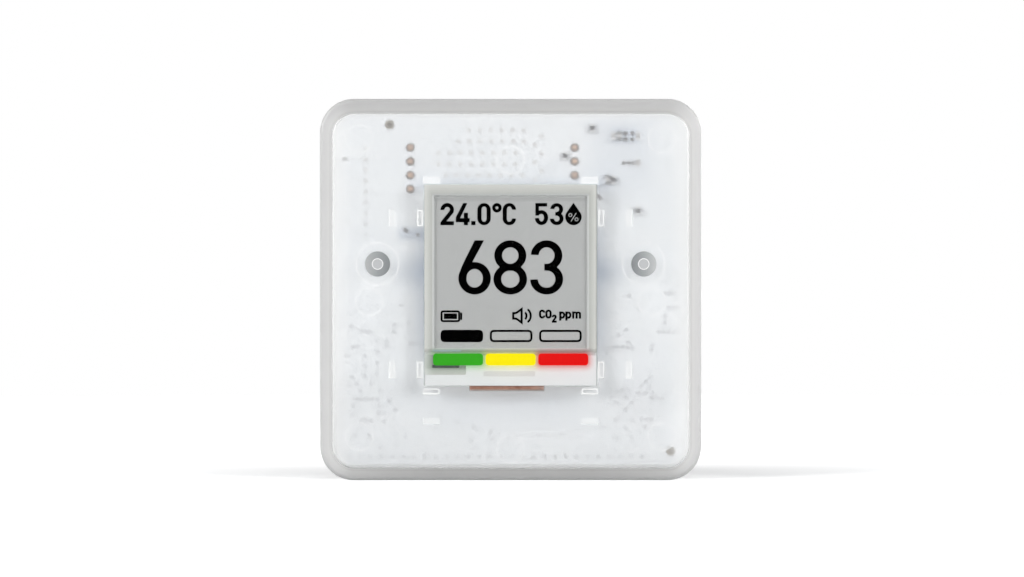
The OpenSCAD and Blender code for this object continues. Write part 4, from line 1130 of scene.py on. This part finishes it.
# Marks on the display's lower ledge
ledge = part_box("ledge_tape")[0].y / MM
plate("film_tab", film_tab(),
      rounded(-15.75, 19.35, -8.2, 23.35, 0.25), ledge - 0.03, ledge + 0.005)
plate("film_tab_edge", plastic("film_tab_edge", (0.07, 0.08, 0.075), (0.5, 0.65), 2600, 0.01),
      rounded(-14.4, 20.62, -9.45, 21.2, 0.15), ledge - 0.05, ledge - 0.025)
# A grey strip of painted shade on the tape, where the driver chip lies behind it
plate("tape_step_shade", plastic("tape_step_shade", (0.76, 0.755, 0.755), (0.6, 0.75), 900, 0.01, 0.04),
      rounded(-5.0, 19.05, 4.5, 20.0, 0.15), ledge - 0.02, ledge + 0.005)

# Bead of glue that slopes from the gasket's foot down to the ledge
BEAD_X, BEAD_HEIGHT = 15.5, 0.6
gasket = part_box("display_gasket")[0].y / MM
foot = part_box("display_gasket")[0].z / MM
profile = ((gasket + 0.03, foot), (ledge - 0.005, foot - BEAD_HEIGHT),
           (ledge + 0.02, foot - BEAD_HEIGHT), (ledge + 0.02, foot))
bead = Outline()
bead.points += [(x, y, z) for x in (-BEAD_X, BEAD_X) for y, z in profile]
bead.faces += [[0, 1, 2, 3], [7, 6, 5, 4]] + [[i, i + 4, (i + 1) % 4 + 4, (i + 1) % 4] for i in range(4)]
bead_look = bar_shadowed(plastic("glue_bead", (0.74, 0.735, 0.725), (0.5, 0.65), 1800, 0.01, 0.02, 0.2))
bead.piece("glue_bead", bead_look)

# Teal line across the gasket's foot
plate("teal_line", plastic("teal_line", (0.36, 0.46, 0.46), (0.4, 0.55), 2600, 0.005),
      rounded(-14.3, 23.62, -9.1, 23.95, 0.1), gasket - 0.03, gasket + 0.005)

# Plain marks on the cells: a pale band at the positive end, and signs on three sides
BAND_LENGTH, BAND_END, PLUS_IN, MINUS_IN = 9, 0.4, 4.5, 5
SIGN_LONG, SIGN_THIN, THIN_TURN, LONG_TURN = 1.6, 0.4, 3.2, 13
bands = Outline()
signs = Outline()
for name, way in (("upper_battery_sleeve", 1), ("lower_battery_sleeve", -1)):
    low, high = (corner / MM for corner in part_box(name))
    y, z = (low.y + high.y) / 2, (low.z + high.z) / 2
    r = (high.z - low.z) / 2
    near, far = (high.x, low.x) if way > 0 else (low.x, high.x)
    bands.wrapped(near - way * BAND_LENGTH, near - way * BAND_END, y, z, r + 0.02, r - 0.02, 0, 360, 48)
    plus, minus = near - way * PLUS_IN, far + way * MINUS_IN
    strokes = ((plus, SIGN_LONG, THIN_TURN), (plus, SIGN_THIN, LONG_TURN), (minus, SIGN_THIN, LONG_TURN))
    for mid in (0, 120, 240):
        for x, half, turn in strokes:
            signs.wrapped(x - half, x + half, y, z, r + 0.04, r, mid - turn, mid + turn)
cell_band = plastic("cell_band", (0.62, 0.63, 0.64), (0.25, 0.4), 700, 0.01, 0.04)
bands.piece("cell_bands", cell_band, smooth=True)
signs.piece("cell_signs", ink("cell_sign", grey(0.5)), smooth=True)

# Plain marks beside the controls: a ring for off and a stroke for on, and a ring round the button
CONTROLS_Y = -0.8
MARK_X = 3.4
levels = (CONTROLS_Y + 0.03, CONTROLS_Y - 0.01)
marks = Outline()
for name in ("calibration_switch_body", "buzzer_switch_body", "calibrate_button_body"):
    low, high = (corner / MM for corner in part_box(name))
    x, z = (low.x + high.x) / 2, (low.z + high.z) / 2
    if "switch" in name:
        marks.ring(x - MARK_X, z, 0.62, 0.4, *levels, 32)
        marks.polygon(rounded(x + MARK_X - 0.12, z - 0.65, x + MARK_X + 0.12, z + 0.65, 0.1), *levels)
    else:
        marks.ring(x, z, 1.95, 1.7, *levels)
marks.piece("control_marks", ink("control_mark", (0.12, 0.13, 0.14)))


# Studio

def seen_rays(tree):
    """Rays that show something to the camera, also through or by way of a piece, and its own rays."""
    path = add_node(tree, "LightPath")
    camera, glossy, through, depth = (Field(path.outputs[name]) for name in (
        "Is Camera Ray", "Is Glossy Ray", "Is Transmission Ray", "Diffuse Depth"))
    return larger(larger(glossy, through), camera) * (depth < 0.5), camera


scene = bpy.context.scene
scene.view_settings.view_transform = "Standard"
AMBIENT = 0.14
world = bpy.data.worlds.new("studio")
scene.world = world
world.use_nodes = True
tree = world.node_tree
seen, camera_rays = seen_rays(tree)
_, toward_back, _ = parts(Field(add_node(tree, "TexCoord").outputs["Generated"]))
shown = larger(spread(toward_back, -0.9, -0.3, 0.006, 1.0), camera_rays)
background = tree.nodes["Background"]
put(blend(seen, AMBIENT, shown), background.inputs["Strength"])
put(blend(seen, (0.92, 0.97, 1.03), WHITE), background.inputs["Color"])


def softbox(name, position, size, power, aim=(0, 0, 0.035)):
    lamp = bpy.data.lights.new(name, "AREA")
    lamp.color = (1.0, 0.99, 0.98)
    lamp.shape = "RECTANGLE"
    lamp.size, lamp.size_y = size
    lamp.energy = power
    made = bpy.data.objects.new(name, lamp)
    made.location = position
    made.rotation_euler = (Vector(aim) - Vector(position)).to_track_quat("-Z", "Y").to_euler()
    scene.collection.objects.link(made)


softbox("key", (-0.95, -0.6, 0.48), (0.6, 0.6), 12.0)
softbox("fill", (0.95, -0.6, 0.42), (0.6, 0.6), 11.1)
softbox("top", (0.0, -0.4, 1.0), (0.8, 0.8), 0.5)
softbox("back", (0.3, 1.1, 0.22), (0.6, 0.4), 5.0)


def white_floor():
    """Floor that looks white with soft shadows near the object, and fades out farther away."""
    look = Look("floor_white")
    tree = look.tree
    look.paint(tinted(look.noise(40, 3), grey(0.5), grey(0.53)))
    look.put("Roughness", 0.9)
    look.put("Specular IOR Level", 0.0)
    seen, _ = seen_rays(tree)
    distance = add_node(tree, "VectorMath")
    distance.operation = "DISTANCE"
    distance.inputs[1].default_value = (0.005, 0, 0)
    put(place(tree), distance.inputs[0])
    away = Field(distance.outputs["Value"])
    pale = add_node(tree, "BsdfDiffuse")
    put(grey(0.95), pale.inputs["Color"])
    glow = add_node(tree, "Emission")
    put(spread(away, 0.04, 0.12, 0.24, 0.8), glow.inputs["Strength"])
    shown = add_node(tree, "AddShader")
    tree.links.new(pale.outputs[0], shown.inputs[0])
    tree.links.new(glow.outputs[0], shown.inputs[1])
    lit = mix_shaders(tree, seen, look.shader, shown)
    clear = add_node(tree, "BsdfTransparent")
    look.show(mix_shaders(tree, spread(away, 0.2, 0.5, 0.0, 1.0) * seen, lit, clear))
    return look


FLOOR_R, FLOOR_Z, FLOOR_STEPS = 1.6, -0.00004, 96
floor_mesh = bpy.data.meshes.new("floor")
floor_ring = [(x, y, FLOOR_Z) for x, y in circle(0, 0, FLOOR_R, FLOOR_STEPS)]
floor_mesh.from_pydata(floor_ring, [], [list(range(FLOOR_STEPS))])
floor_mesh.materials.append(white_floor().material)
floor = bpy.data.objects.new("floor", floor_mesh)
scene.collection.objects.link(floor)

camera_data = bpy.data.cameras.new("camera")
camera_data.sensor_width = 36
camera_data.lens = 191.7
camera = bpy.data.objects.new("camera", camera_data)
camera.location = (0.00025, -1.012, 0.047)
aim = Vector((0.00025, -0.012, 0.03522))
camera.rotation_euler = (aim - camera.location).to_track_quat("-Z", "Y").to_euler()
scene.collection.objects.link(camera)
scene.camera = camera
